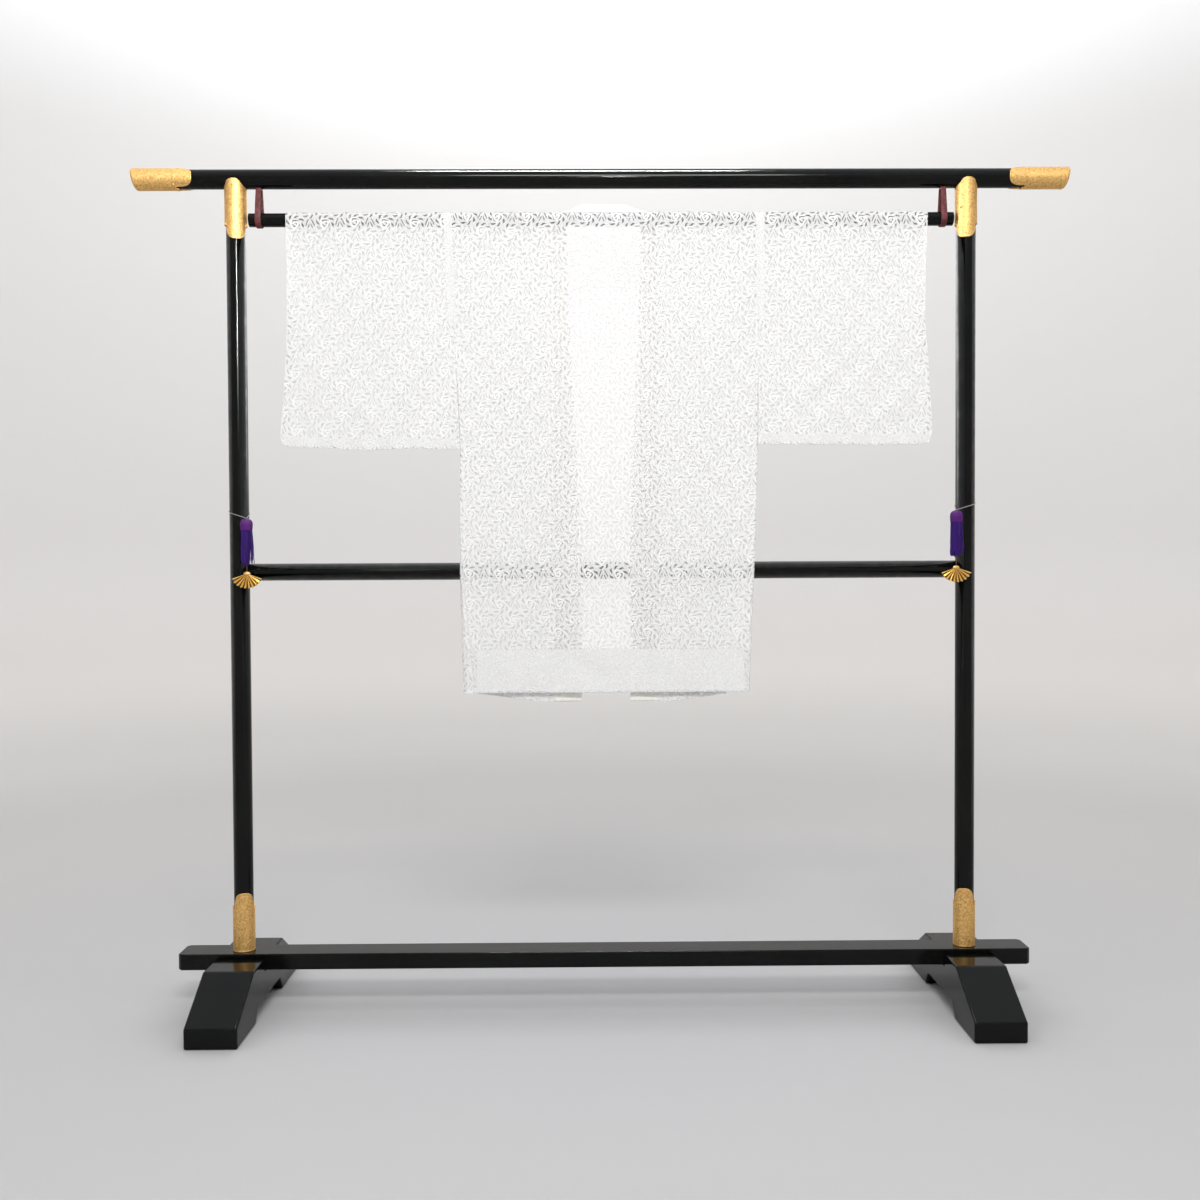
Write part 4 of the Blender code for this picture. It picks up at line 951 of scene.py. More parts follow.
def make_fan(name, side, card, cord_finish):
    x, y = ornament_axis(side)
    pivot_z = FAN_PIVOT_Z[side]
    points, faces = [], []
    ridges = 2 * FAN_PLEATS + 1
    for step in range(ridges):
        outward = step / FAN_PLEATS - 1
        angle = FAN_HALF_SPREAD * outward
        ridge = FAN_PLEAT_DEPTH if step % 2 else -FAN_PLEAT_DEPTH
        edge = between(FAN_MIDDLE_RADIUS, FAN_RADIUS, abs(outward)) * (1 - FAN_NOTCH_SHARE * (step % 2))
        for reach_step in range(FAN_REACH_STEPS + 1):
            reach = between(FAN_INNER_REACH, edge, reach_step / FAN_REACH_STEPS)
            sway = FAN_SWAY * math.sin(math.pi * reach / edge) * math.sin(2.1 * step)
            points.append((x + reach * math.sin(angle), y + ridge * reach / edge + sway,
                           pivot_z - reach * math.cos(angle)))
    for step in range(ridges - 1):
        for reach_step in range(FAN_REACH_STEPS):
            here = step * (FAN_REACH_STEPS + 1) + reach_step
            there = here + FAN_REACH_STEPS + 1
            faces.append((here, here + 1, there + 1, there))
    fan = add_piece(name + "_card", points, faces, card, smooth_angle=20)
    # A mask for the painted shade: 0 in each pleat's valley, 1 on its ridges.
    pleat_shade = fan.data.attributes.new("pleat_shade", "FLOAT", "POINT")
    turns = [math.atan2(vert.co.x - x, pivot_z - vert.co.z) / FAN_HALF_SPREAD for vert in fan.data.vertices]
    pleat_shade.data.foreach_set("value", [abs(math.cos(math.pi / 2 * FAN_PLEATS * (turn + 1))) for turn in turns])
    thicken(fan, FAN_SHEET)
    finish_piece(fan, "gilt_brass", name)
    rings = []
    for step in range(KNOB_STEPS + 1):
        turn = math.pi * step / KNOB_STEPS
        radius = max(KNOB_RADIUS * math.sin(turn), POLE_RADIUS)
        wide, high = KNOB_WIDTH_SHARE * radius, KNOB_HEIGHT_SHARE * radius
        depth = -KNOB_HALF_DEPTH * math.cos(turn)
        ring = []
        for side_step in range(KNOB_SIDES):
            spin = 2 * math.pi * side_step / KNOB_SIDES
            ring.append((x + wide * math.cos(spin), y + depth, pivot_z + high * math.sin(spin)))
        rings.append(ring)
    add_beside(ring_piece(name + "_pivot", rings, gilt))
    bottom, top = pivot_z + FAN_CORD_START, TASSEL_TOP_Z[side] - TASSEL_HEAD[-1][0]
    shares = [step / FAN_CORD_STEPS for step in range(FAN_CORD_STEPS + 1)]
    path = [Vector((x, y, between(bottom, top, share))) for share in shares]
    add_beside(ply_piece(name + "_cord", path, cord_finish))


card = gilt_card()
brown_cord = fibre("brown_cord", "#4a3524", "#7a5a3c", 900.0, Roughness=0.8)
for word, side in (("left", -1), ("right", 1)):
    make_fan("ornament_fan_" + word, side, card, brown_cord)

# Haori, back and fronts: one length of warp-knitted flower lace that runs over the shoulder, cut
# open for the neck and the fronts, its hems turned up 93 mm and blind-stitched inside.
LACE = 0.0007
LACE_REPEAT = 0.062
CLOTH = 0.0015
COLLAR_CLOTH = 0.0026
SEAM_GAP = 0.00002
ROD_CLEARANCE = 0.0005
TURN_UP = 0.093
TURN_UP_GAP = 0.0022
BACK_HEM_Z = 0.666
FRONT_HEM_DROP = 0.019
GUSSET_FLARE_Z = 1.004
GUSSET_SEAM_INSET = 0.0012
GUSSET_TOP_Z = 1.3089
LAPEL_SEAM_LEFT = -0.1045
LAPEL_SEAM_RIGHT = 0.1170
BODY_LEAN_Z = 0.938
BACK_AT_RAIL_Y = -0.0355
BACK_SWELL = 0.0026
FRONT_SWELL = 0.0022
# The lengths of the waves across the back and the fronts
BACK_WAVE = 0.185
BACK_RIPPLE = 0.079
FRONT_WAVE = 0.120
# How far creases may reach without a layer touching the next
BACK_CREASE_LIMIT = 0.0025
FRONT_CREASE_LIMITS = (-0.0015, 0.0026)
TURN_STEPS = 6
SIDE_COLUMNS = 42
NECK_COLUMNS = 38
PANEL_ROWS = 172
TURN_UP_ROWS = 16
ARC_STEPS = 12
# Height, then the body's left and right edge at it
BODY_EDGES = np.array((
    (0.666, -0.2950, 0.3040),
    (0.920, -0.2995, 0.3145),
    (1.186, -0.2970, 0.3225),
    (1.441, -0.3090, 0.3255),
    (1.671, -0.3180, 0.3270),
))
# Creases of the back: both ends' x and z, then width and depth; a ridge has a negative depth
BACK_CREASES = (
    (-0.286, 1.600, -0.200, 1.250, 0.018, -0.0022),
    (-0.240, 1.480, -0.205, 1.060, 0.022, 0.0016),
    (-0.170, 1.610, -0.120, 1.180, 0.020, -0.0014),
    (0.300, 1.590, 0.215, 1.270, 0.020, -0.0024),
    (0.262, 1.430, 0.235, 1.020, 0.024, 0.0018),
    (0.190, 1.600, 0.140, 1.300, 0.016, -0.0012),
    (-0.255, 1.130, -0.180, 0.760, 0.020, -0.0018),
    (-0.120, 1.020, -0.095, 0.700, 0.026, 0.0020),
    (-0.020, 1.180, -0.030, 0.760, 0.030, -0.0018),
    (0.070, 0.990, 0.090, 0.700, 0.022, 0.0018),
    (0.160, 1.090, 0.190, 0.720, 0.024, -0.0020),
    (0.262, 0.980, 0.240, 0.690, 0.018, 0.0015),
    (-0.300, 1.420, -0.268, 1.330, 0.010, 0.0014),
    (0.318, 1.440, 0.286, 1.340, 0.011, 0.0016),
    (-0.070, 0.748, 0.010, 0.680, 0.014, 0.0014),
    (-0.220, 0.740, -0.170, 0.690, 0.012, -0.0012),
    (0.120, 0.752, 0.170, 0.685, 0.013, -0.0013),
    (-0.060, 1.460, 0.030, 1.420, 0.012, 0.0010),
    (0.000, 1.300, 0.085, 1.250, 0.015, -0.0009),
)
# Creases of the fronts, seen from behind the stand, in the same columns; a ridge is positive
FRONT_CREASES = (
    (-0.280, 1.610, -0.190, 1.240, 0.020, 0.0022),
    (-0.225, 1.400, -0.200, 1.010, 0.024, -0.0015),
    (-0.150, 1.560, -0.132, 1.220, 0.016, 0.0014),
    (0.296, 1.600, 0.222, 1.300, 0.018, 0.0022),
    (0.250, 1.360, 0.226, 1.000, 0.024, -0.0016),
    (0.160, 1.540, 0.150, 1.120, 0.018, 0.0016),
    (-0.240, 0.900, -0.205, 0.690, 0.020, 0.0016),
    (-0.150, 0.880, -0.140, 0.690, 0.016, -0.0012),
    (0.200, 0.890, 0.216, 0.690, 0.020, 0.0016),
    (0.280, 0.860, 0.262, 0.700, 0.014, -0.0012),
)
# The lace's figure, in shares of the distance between two roses, and its yarn's cover
ROSE_RADIUS = 0.25
ROSE_RINGS = 1.62
PETAL_RING = (0.275, 0.445)
LEAF_RADIUS = 0.25
VEIN_PITCH = 0.098
NET_PITCH = 0.075
THREAD_PITCH = 0.043
YARN_COVER = 0.87


def flower_lace(name, ground, motif, lining=0.0):
    """Warp-knitted lace: roses in a half drop 62 mm apart, each in a ring of openings, and leaves.

    The yarn is matte white and soft, and covers most of what lies behind it. Curved openings 4 to
    5 mm wide make the roses and the rings round them, with fine threads across, and the ground
    between has 2 mm meshes. A lining closes them all from behind.
    """
    finish, tree, shader = new_finish(name, Roughness=0.85, Specular_IOR_Level=0.3,
                                      Subsurface_Weight=0.55 - 0.4 * lining,
                                      Subsurface_Radius=(1.0, 1.0, 1.0), Subsurface_Scale=0.0015)

    def maths(operation, first, second=0.0, third=0.0):
        return add_node(tree, "ShaderNodeMath", {0: first, 1: second, 2: third}, operation=operation)

    def ramp(value, low, high, start=0.0, stop=1.0):
        return add_node(tree, "ShaderNodeMapRange", {0: value, 1: low, 2: high, 3: start, 4: stop})

    def product(*factors):
        result = factors[0]
        for factor in factors[1:]:
            result = maths("MULTIPLY", result, factor)
        return result

    def parts(vector):
        return add_node(tree, "ShaderNodeSeparateXYZ", {0: vector}).node.outputs

    def sway(place, other, pitch, start):
        """A place moved a little to and fro along the other way of the cloth."""
        return maths("MULTIPLY_ADD", maths("SINE", maths("MULTIPLY_ADD", other, pitch, start)), 0.03, place)

    flat = add_node(tree, "ShaderNodeUVMap", uv_map="cloth")
    scaled = add_node(tree, "ShaderNodeVectorMath", {0: flat, "Scale": 1 / LACE_REPEAT}, operation="SCALE")
    place = parts(scaled)
    across = sway(place["X"], place["Y"], 2.3, 0.4)
    along = sway(place["Y"], place["X"], 1.9, 1.0)
    first, second = maths("ADD", across, along), maths("SUBTRACT", along, across)
    half_drop = add_node(tree, "ShaderNodeCombineXYZ", {"X": first, "Y": second})

    def cell(shift):
        """A place's way and distance from the middle of the nearest cell of the half drop."""
        moved = add_node(tree, "ShaderNodeVectorMath", {0: half_drop, 1: (shift, shift, 0.0)},
                         operation="ADD")
        near = add_node(tree, "ShaderNodeVectorMath", {0: moved, 1: (0.5, 0.5, 0.5), 2: (-0.5, -0.5, -0.5)},
                        operation="WRAP")
        return parts(near), add_node(tree, "ShaderNodeVectorMath", {0: near}, out=1, operation="LENGTH")

    def stripe(place):
        return maths("ABSOLUTE", maths("SINE", maths("MULTIPLY", place, math.pi / THREAD_PITCH)))

    near, reach = cell(0.0)
    kind = maths("FLOORED_MODULO", maths("ADD", maths("ROUND", first), maths("ROUND", second)), 2.0)
    turn = maths("MULTIPLY_ADD", kind, 1.9, maths("ARCTAN2", near["Y"], near["X"]))
    lobed = maths("MULTIPLY_ADD", maths("SINE", maths("MULTIPLY_ADD", turn, 3.0, kind)), 0.020, reach)
    rings = maths("SINE", maths("MULTIPLY_ADD", lobed, 2 * math.pi * ROSE_RINGS / ROSE_RADIUS, turn))
    breaks = maths("COSINE", maths("MULTIPLY_ADD", lobed, 22.0, maths("MULTIPLY", turn, 3.0)))
    rose = ramp(lobed, ROSE_RADIUS * 0.90, ROSE_RADIUS * 0.97, 1.0, 0.0)
    rose_gaps = product(ramp(rings, 0.12, 0.42), ramp(breaks, -0.70, -0.40), rose)
    petals = maths("COSINE", maths("MULTIPLY_ADD", lobed, 21.0, maths("MULTIPLY", turn, 8.0)))
    petal_gaps = product(ramp(petals, 0.10, 0.38), ramp(lobed, PETAL_RING[0], PETAL_RING[0] + 0.02),
                         ramp(lobed, PETAL_RING[1] - 0.02, PETAL_RING[1], 1.0, 0.0))
    corner, leaf_reach = cell(0.5)
    aside = maths("ABSOLUTE", maths("SUBTRACT", corner["X"], corner["Y"]))
    upward = maths("ADD", corner["X"], corner["Y"])
    veins = maths("SINE", maths("MULTIPLY", maths("MULTIPLY_ADD", upward, 0.45, aside), math.pi / VEIN_PITCH))
    leaf_gaps = product(ramp(veins, 0.20, 0.55), ramp(leaf_reach, LEAF_RADIUS - 0.03, LEAF_RADIUS, 1.0, 0.0),
                        ramp(aside, 0.03, 0.055))
    warp = maths("SINE", maths("MULTIPLY", first, 2 * math.pi / NET_PITCH))
    weft = maths("SINE", maths("MULTIPLY", second, 2 * math.pi / NET_PITCH))
    net = maths("MULTIPLY", warp, weft)
    net_gaps = maths("MULTIPLY", ramp(net, 0.40, 0.66), ramp(lobed, ROSE_RADIUS, ROSE_RADIUS + 0.02))
    threads = ramp(maths("MINIMUM", stripe(first), stripe(second)), 0.10, 0.26)
    gaps = maths("MAXIMUM", maths("MAXIMUM", petal_gaps, leaf_gaps), rose_gaps)
    gaps = maths("MAXIMUM", maths("MULTIPLY", gaps, threads), net_gaps)
    relief = maths("MULTIPLY_ADD", product(rings, rose), -0.5, maths("MULTIPLY", net, -0.35))
    normal = add_node(tree, "ShaderNodeBump", {"Height": relief, "Strength": 0.5, "Distance": 0.0005})
    raised = maths("MAXIMUM", rose, ramp(maths("ABSOLUTE", petals), 0.2, 0.8))
    shade = maths("MULTIPLY", raised, maths("SUBTRACT", 1.0, gaps))
    colour = add_node(tree, "ShaderNodeMix", {0: shade, 6: linear(ground), 7: linear(motif)}, out=2,
                      data_type="RGBA")
    tree.links.new(colour, shader.inputs["Base Color"])
    tree.links.new(normal, shader.inputs["Normal"])
    if lining < 1:
        yarn = maths("MULTIPLY", maths("SUBTRACT", 1.0, maths("MULTIPLY", gaps, 1.0 - lining)), YARN_COVER)
        tree.links.new(yarn, shader.inputs["Alpha"])
    return finish


def ease(low, high, value):
    """0 below low, 1 above high and a smooth step between them."""
    share = np.clip((value - low) / (high - low), 0.0, 1.0)
    return share * share * (3 - 2 * share)


def crease_depth(table, x, z):
    """How far a surface moves for its creases, each soft across and fading to its ends."""
    depth = np.zeros(np.broadcast(x, z).shape)
    for x0, z0, x1, z1, width, height in table:
        run_x, run_z = x1 - x0, z1 - z0
        share = np.clip(((x - x0) * run_x + (z - z0) * run_z) / (run_x ** 2 + run_z ** 2), 0.0, 1.0)
        away = (x - x0 - share * run_x) ** 2 + (z - z0 - share * run_z) ** 2
        depth = depth + height * np.exp(-away / (2 * width ** 2)) * (0.30 + 0.70 * np.sin(np.pi * share))
    return depth


def cloth_grid(name, points, flat, finish, skip=None, wrap=False, thickness=LACE):
    """A thin shell about a grid of points, with the cloth's own metres in its UV map."""
    rows, columns = points.shape[:2]
    faces = []
    for row in range(rows if wrap else rows - 1):
        for column in range(columns - 1):
            if skip and skip(row, column):
                continue
            here, there = row * columns + column, (row + 1) % rows * columns + column
            faces.append((here, here + 1, there + 1, there))
    mesh = bpy.data.meshes.new(name)
    mesh.from_pydata([tuple(point) for point in points.reshape(-1, 3)], [], faces)
    layer = mesh.uv_layers.new(name="cloth")
    corners = np.array(faces).reshape(-1)
    uv = flat.reshape(-1, 2)[corners].copy()
    if wrap:
        pair = uv.reshape(-1, 4, 2)
        length = flat[-1, 0, 1] + np.linalg.norm(points[0, columns // 2] - points[-1, columns // 2])
        last = pair[:, 0, 1] - pair[:, 2, 1] > length / 2
        pair[last, 2:, 1] += length
    layer.data.foreach_set("uv", uv.reshape(-1))
    shape = bmesh.new()
    shape.from_mesh(mesh)
    bmesh.ops.delete(shape, geom=[vert for vert in shape.verts if not vert.link_faces], context="VERTS")
    bmesh.ops.remove_doubles(shape, verts=shape.verts, dist=0.00001)
    bmesh.ops.dissolve_degenerate(shape, edges=shape.edges, dist=0.000001)
    bmesh.ops.recalc_face_normals(shape, faces=shape.faces)
    shape.to_mesh(mesh)
    shape.free()
    mesh.shade_smooth()
    mesh.materials.append(finish)
    piece = bpy.data.objects.new(name, mesh)
    bpy.context.scene.collection.objects.link(piece)
    if thickness:
        thicken(piece, thickness)
        piece.data.set_sharp_from_angle(angle=math.radians(50))
    return piece


def rod_wrap(thickness):
    return rod_radius + ROD_CLEARANCE + thickness / 2


def body_edge(side, z):
    return np.interp(z, BODY_EDGES[:, 0], BODY_EDGES[:, 1 if side < 0 else 2])


def side_seam(side, z, spread):
    """A panel's side edge, set in where the gusset stands out past it, most at the hem."""
    share = np.clip((GUSSET_FLARE_Z - z) / (GUSSET_FLARE_Z - BACK_HEM_Z), 0.0, 1.0)
    inset = GUSSET_SEAM_INSET * ease(GUSSET_TOP_Z + 0.049, GUSSET_TOP_Z, z)
    return body_edge(side, z) - side * (inset + spread * share)


def back_edge(side, z):
    return side_seam(side, z, 0.025 if side < 0 else 0.006)


def front_edge(side, z):
    return side_seam(side, z, 0.027 if side < 0 else 0.046)


def hang_y(z, at_rod, at_rail):
    """A layer's depth: straight from the rod to the mid rail's front, then plumb."""
    share = (rod_axis_z - np.maximum(z, BODY_LEAN_Z)) / (rod_axis_z - BODY_LEAN_Z)
    return between(at_rod, at_rail, share)


def back_y(x, z):
    """The back panel, with shallow upright waves that grow towards the hem."""
    swell = BACK_SWELL * ease(1.55, BACK_HEM_Z, z)
    wave = np.sin(2 * np.pi * x / BACK_WAVE + 0.6) + 0.5 * np.sin(2 * np.pi * x / BACK_RIPPLE + 2.0)
    return hang_y(z, -rod_wrap(CLOTH), BACK_AT_RAIL_Y) + swell * wave / 1.5


def front_y(x, z, thickness=CLOTH):
    """A front panel, which lies against the mid rail and waves only away from it."""
    swell = FRONT_SWELL * ease(1.55, 0.95, z) * (0.35 + 0.65 * ease(0.90, 0.70, z))
    wave = 0.5 + 0.5 * np.sin(2 * np.pi * x / FRONT_WAVE + 1.1)
    at_rail = -(rail_radius + ROD_CLEARANCE + thickness / 2)
    return hang_y(z, rod_wrap(thickness), at_rail) - swell * wave


def back_surface(x, z):
    """The back with its creases, which fade at the rod."""
    fade = ease(rod_axis_z, rod_axis_z - 0.05, z)
    return back_y(x, z) + fade * np.minimum(crease_depth(BACK_CREASES, x, z), BACK_CREASE_LIMIT)


def front_surface(x, z):
    """The fronts with their creases, which stay clear of the mid rail."""
    fade = ease(rod_axis_z, rod_axis_z - 0.05, z)
    clear_of_rail = 1 - np.exp(-((z - rail_axis_z) / 0.045) ** 2)
    move = crease_depth(FRONT_CREASES, x, z) * fade * clear_of_rail
    return front_y(x, z) + np.clip(move, *FRONT_CREASE_LIMITS)


def column_x(z, edge):
    """Where the body's columns stand at a height: side, lapel seam, lapel seam, side."""
    left = np.linspace(edge(-1, z), LAPEL_SEAM_LEFT, SIDE_COLUMNS + 1)
    middle = np.linspace(LAPEL_SEAM_LEFT, LAPEL_SEAM_RIGHT, NECK_COLUMNS + 1)
    right = np.linspace(LAPEL_SEAM_RIGHT, edge(1, z), SIDE_COLUMNS + 1)
    return np.concatenate((left, middle[1:], right[1:]))


def back_hem_z(x):
    return np.full(np.shape(x), BACK_HEM_Z)


def front_hem_z(x):
    """The fronts hang lower towards the opening."""
    left = (x - BODY_EDGES[0, 1]) / (LAPEL_SEAM_LEFT - BODY_EDGES[0, 1])
    right = (BODY_EDGES[0, 2] - x) / (BODY_EDGES[0, 2] - LAPEL_SEAM_RIGHT)
    share = np.where(x < 0, left, right)
    return BACK_HEM_Z - 0.001 - FRONT_HEM_DROP * ease(0.0, 1.0, share)


def panel_rows(hem_of, depth_of, edge, inward):
    """One layer of the body from the top of its turn-up, round the hem and up to the rod."""
    rows = []

    def add_row(rise, inset):
        x = column_x(hem_of(0.0) + rise, edge)
        z = hem_of(x) + rise
        rows.append(np.stack((x, depth_of(x, z) + inset, z), axis=-1))

    bend = TURN_UP_GAP / 2
    for step in range(TURN_UP_ROWS):
        add_row(between(TURN_UP, bend, step / TURN_UP_ROWS), inward * TURN_UP_GAP)
    for step in range(TURN_STEPS + 1):
        angle = math.pi * step / TURN_STEPS
        add_row(bend * (1 - math.sin(angle)), inward * bend * (1 + math.cos(angle)))
    for step in range(1, PANEL_ROWS + 1):
        share = step / PANEL_ROWS
        x = column_x(between(hem_of(0.0) + bend, rod_axis_z, share), edge)
        z = between(hem_of(x) + bend, rod_axis_z, share)
        rows.append(np.stack((x, depth_of(x, z), z), axis=-1))
    return rows


def arc_rows(edge, radius):
    """The rows over the rod, from the back to the fronts."""
    rows = []
    for step in range(1, ARC_STEPS):
        angle = math.pi * (1 - step / ARC_STEPS)
        z = rod_axis_z + radius * math.sin(angle)
        x = column_x(z, edge)
        rows.append(np.stack((x, np.full(x.shape, radius * math.cos(angle)), np.full(x.shape, z)), axis=-1))
    return rows


def run_length(points):
    """Metres of cloth from the first row to each row, measured down the middle column."""
    middle = points[:, points.shape[1] // 2]
    steps = np.linalg.norm(np.diff(middle, axis=0), axis=1)
    return np.concatenate(([0.0], np.cumsum(steps)))


def make_body(lace):
    back = panel_rows(back_hem_z, back_surface, back_edge, 1)
    front = panel_rows(front_hem_z, front_surface, front_edge, -1)
    arc = arc_rows(body_edge, rod_wrap(CLOTH))
    neck_row = len(back) + ARC_STEPS // 2 - 1
    points = np.array(back + arc + front[::-1])
    length = run_length(points)
    flat = np.stack(np.broadcast_arrays(points[:, :, 0], length[:, None]), axis=-1)

    def in_neck(row, column):
        return row >= neck_row and SIDE_COLUMNS <= column < SIDE_COLUMNS + NECK_COLUMNS

    body = cloth_grid("haori_body", points, flat, lace, skip=in_neck)
    finish_piece(body, "lace", "body")


lace = flower_lace("white_flower_lace", "#f7f7f5", "#fbfbfa")
make_body(lace)

# Side gussets: narrow wedges of the same lace between back and front, folded outwards down their
# middle, from nothing below the armhole to 56 mm at the hem.
GUSSET_ROWS = 116
GUSSET_COLUMNS = 14
GUSSET_FOLD_INSET = 0.0005
GUSSET_PATTERN_SHIFT = 0.4


def make_gusset(name, side, lace):
    heights = np.linspace(BACK_HEM_Z, GUSSET_TOP_Z, GUSSET_ROWS + 1)
    clear = side * (SEAM_GAP + LACE * 0.55)
    start_x, finish_x = back_edge(side, heights) + clear, front_edge(side, heights) + clear
    start_y = back_surface(back_edge(side, heights), heights)
    finish_y = front_surface(front_edge(side, heights), heights)
    fold_x = body_edge(side, heights) - side * GUSSET_FOLD_INSET
    rows = []
    for column in range(GUSSET_COLUMNS + 1):
        share = column / GUSSET_COLUMNS
        edge_x, edge_y = (start_x, start_y) if share < 0.5 else (finish_x, finish_y)
        reach = 1 - abs(2 * share - 1)
        x = between(edge_x, fold_x, reach ** 0.9)
        y = between(edge_y, (start_y + finish_y) / 2, reach ** 3)
        rows.append(np.stack((x, y, heights), axis=-1))
    points = np.array(rows).transpose(1, 0, 2)
    widths = np.linalg.norm(np.diff(points, axis=1), axis=2)
    across = np.cumsum(np.concatenate((np.zeros((GUSSET_ROWS + 1, 1)), widths), axis=1), axis=1)
    flat = np.stack((across + GUSSET_PATTERN_SHIFT, points[:, :, 2]), axis=-1)
    gusset = cloth_grid("haori_" + name, points, flat, lace)
    finish_piece(gusset, "lace", name)


for word, side in (("left", -1), ("right", 1)):
    make_gusset("gusset_" + word, side, lace)

# Sleeves: square tubes of the lace over the rod, folded at the top, seamed along the bottom and
# the lower wrist edge, sewn to the body down the armhole and open at the wrist above.
SLEEVE_BOTTOM_Z = 1.181
LEFT_SLEEVE_SAG = 0.0065
ARMHOLE_END_Z = 1.441
SLEEVE_PARTING = 0.0001
WRIST_END_Z = 1.452
WRIST_GAPE = 0.075
SLEEVE_CORNERS = {-1: 0.022, 1: 0.030}
SLEEVE_COLUMNS = 76
SLEEVE_ROWS = 96
# Heights over which the layers close: to the bottom seam, to the wrist seam and to the crease above
# the bottom seam
BOTTOM_CLOSING = 0.013
WRIST_CLOSING = 0.016
BOTTOM_CREASE_RISE = 0.020
BOTTOM_CREASE_WIDTH = 0.006
BOTTOM_CREASE_SHARE = 0.22
SLEEVE_PATTERN_SHIFT = (0.017, 0.021)
# Height, then the left and right sleeve's outer edge at it
SLEEVE_EDGES = np.array((
    (1.181, -0.6720, 0.6895),
    (1.215, -0.6715, 0.6895),
    (1.275, -0.6650, 0.6860),
    (1.379, -0.6580, 0.6795),
    (1.441, -0.6555, 0.6740),
    (1.482, -0.6565, 0.6745),
    (1.560, -0.6550, 0.6755),
    (1.671, -0.6575, 0.6805),
))
# Heights of a sleeve's lowest rows above its bottom
SLEEVE_DROPS = (
    0.0, 0.0002, 0.0008, 0.0018, 0.0035, 0.0055, 0.008, 0.0105, 0.013, 0.0165, 0.020, 0.025, 0.030,
    0.036, 0.042, 0.048, 0.055,
)
# Creases of the sleeves' layers, as for the back; a ridge has a negative depth on the near layer
SLEEVE_CREASES = {
    -1: (
        (-0.640, 1.480, -0.560, 1.230, 0.018, -0.0022),
        (-0.600, 1.560, -0.520, 1.320, 0.020, 0.0018),
        (-0.345, 1.440, -0.420, 1.270, 0.017, -0.0022),
        (-0.330, 1.340, -0.400, 1.205, 0.014, 0.0020),
        (-0.470, 1.600, -0.455, 1.380, 0.022, -0.0014),
        (-0.520, 1.290, -0.450, 1.200, 0.012, -0.0018),
        (-0.655, 1.300, -0.610, 1.205, 0.012, 0.0018),
        (-0.390, 1.580, -0.370, 1.420, 0.018, 0.0012),
    ),
    1: (
        (0.480, 1.345, 0.400, 1.270, 0.011, -0.0026),
        (0.500, 1.270, 0.440, 1.215, 0.010, -0.0022),
        (0.560, 1.360, 0.470, 1.290, 0.012, 0.0018),
        (0.380, 1.290, 0.345, 1.230, 0.011, 0.0024),
        (0.655, 1.300, 0.560, 1.220, 0.014, -0.0024),
        (0.630, 1.440, 0.540, 1.300, 0.018, -0.0018),
        (0.350, 1.450, 0.420, 1.330, 0.018, 0.0018),
        (0.590, 1.600, 0.560, 1.440, 0.020, 0.0014),
        (0.440, 1.590, 0.470, 1.420, 0.022, -0.0014),
        (0.660, 1.250, 0.600, 1.205, 0.009, 0.0022),
    ),
}


def sleeve_edge(side, z):
    """The sleeve's outer edge, with its lower corner rounded."""
    edge = np.interp(z, SLEEVE_EDGES[:, 0], SLEEVE_EDGES[:, 1 if side < 0 else 2])
    corner = SLEEVE_CORNERS[side]
    above = np.clip(corner - (z - SLEEVE_BOTTOM_Z), 0.0, corner)
    return edge - side * (corner - np.sqrt(corner ** 2 - above ** 2))


def sleeve_inner_edge(side, z):
    """Sewn to the body down to the end of the armhole, and parted from it below."""
    parting = SLEEVE_PARTING * ease(ARMHOLE_END_Z, ARMHOLE_END_Z - 0.10, z)
    return body_edge(side, z) + side * (SEAM_GAP + parting)


def bottom_ripple(x):
    """The sleeve's lower edge isn't quite straight, and the left one sags towards the body."""
    sag = LEFT_SLEEVE_SAG * ease(-0.66, -0.52, x) * (x < 0)
    return 0.0008 * np.sin(2 * np.pi * x / 0.150) + 0.0004 * np.sin(2 * np.pi * x / 0.047) - sag


def sleeve_closing(side, x, z):
    """1 where a sleeve is open, down to 0 where its layers meet at the bottom and the lower wrist."""
    drop = np.maximum(z - SLEEVE_BOTTOM_Z - bottom_ripple(x), 0.0)
    outer = np.abs(sleeve_edge(side, z) - x)
    bottom = np.sqrt(np.maximum(1 - (1 - np.minimum(drop / BOTTOM_CLOSING, 1.0)) ** 2, 0.0))
    crease = 1 - BOTTOM_CREASE_SHARE * np.exp(-((drop - BOTTOM_CREASE_RISE) / BOTTOM_CREASE_WIDTH) ** 2)
    closed = ease(WRIST_END_Z + WRIST_GAPE, WRIST_END_Z, z)
    cuff = np.sqrt(np.maximum(1 - (1 - np.minimum(outer / WRIST_CLOSING, 1.0)) ** 2, 0.0))
    return bottom * crease * (1 - closed * (1 - cuff))


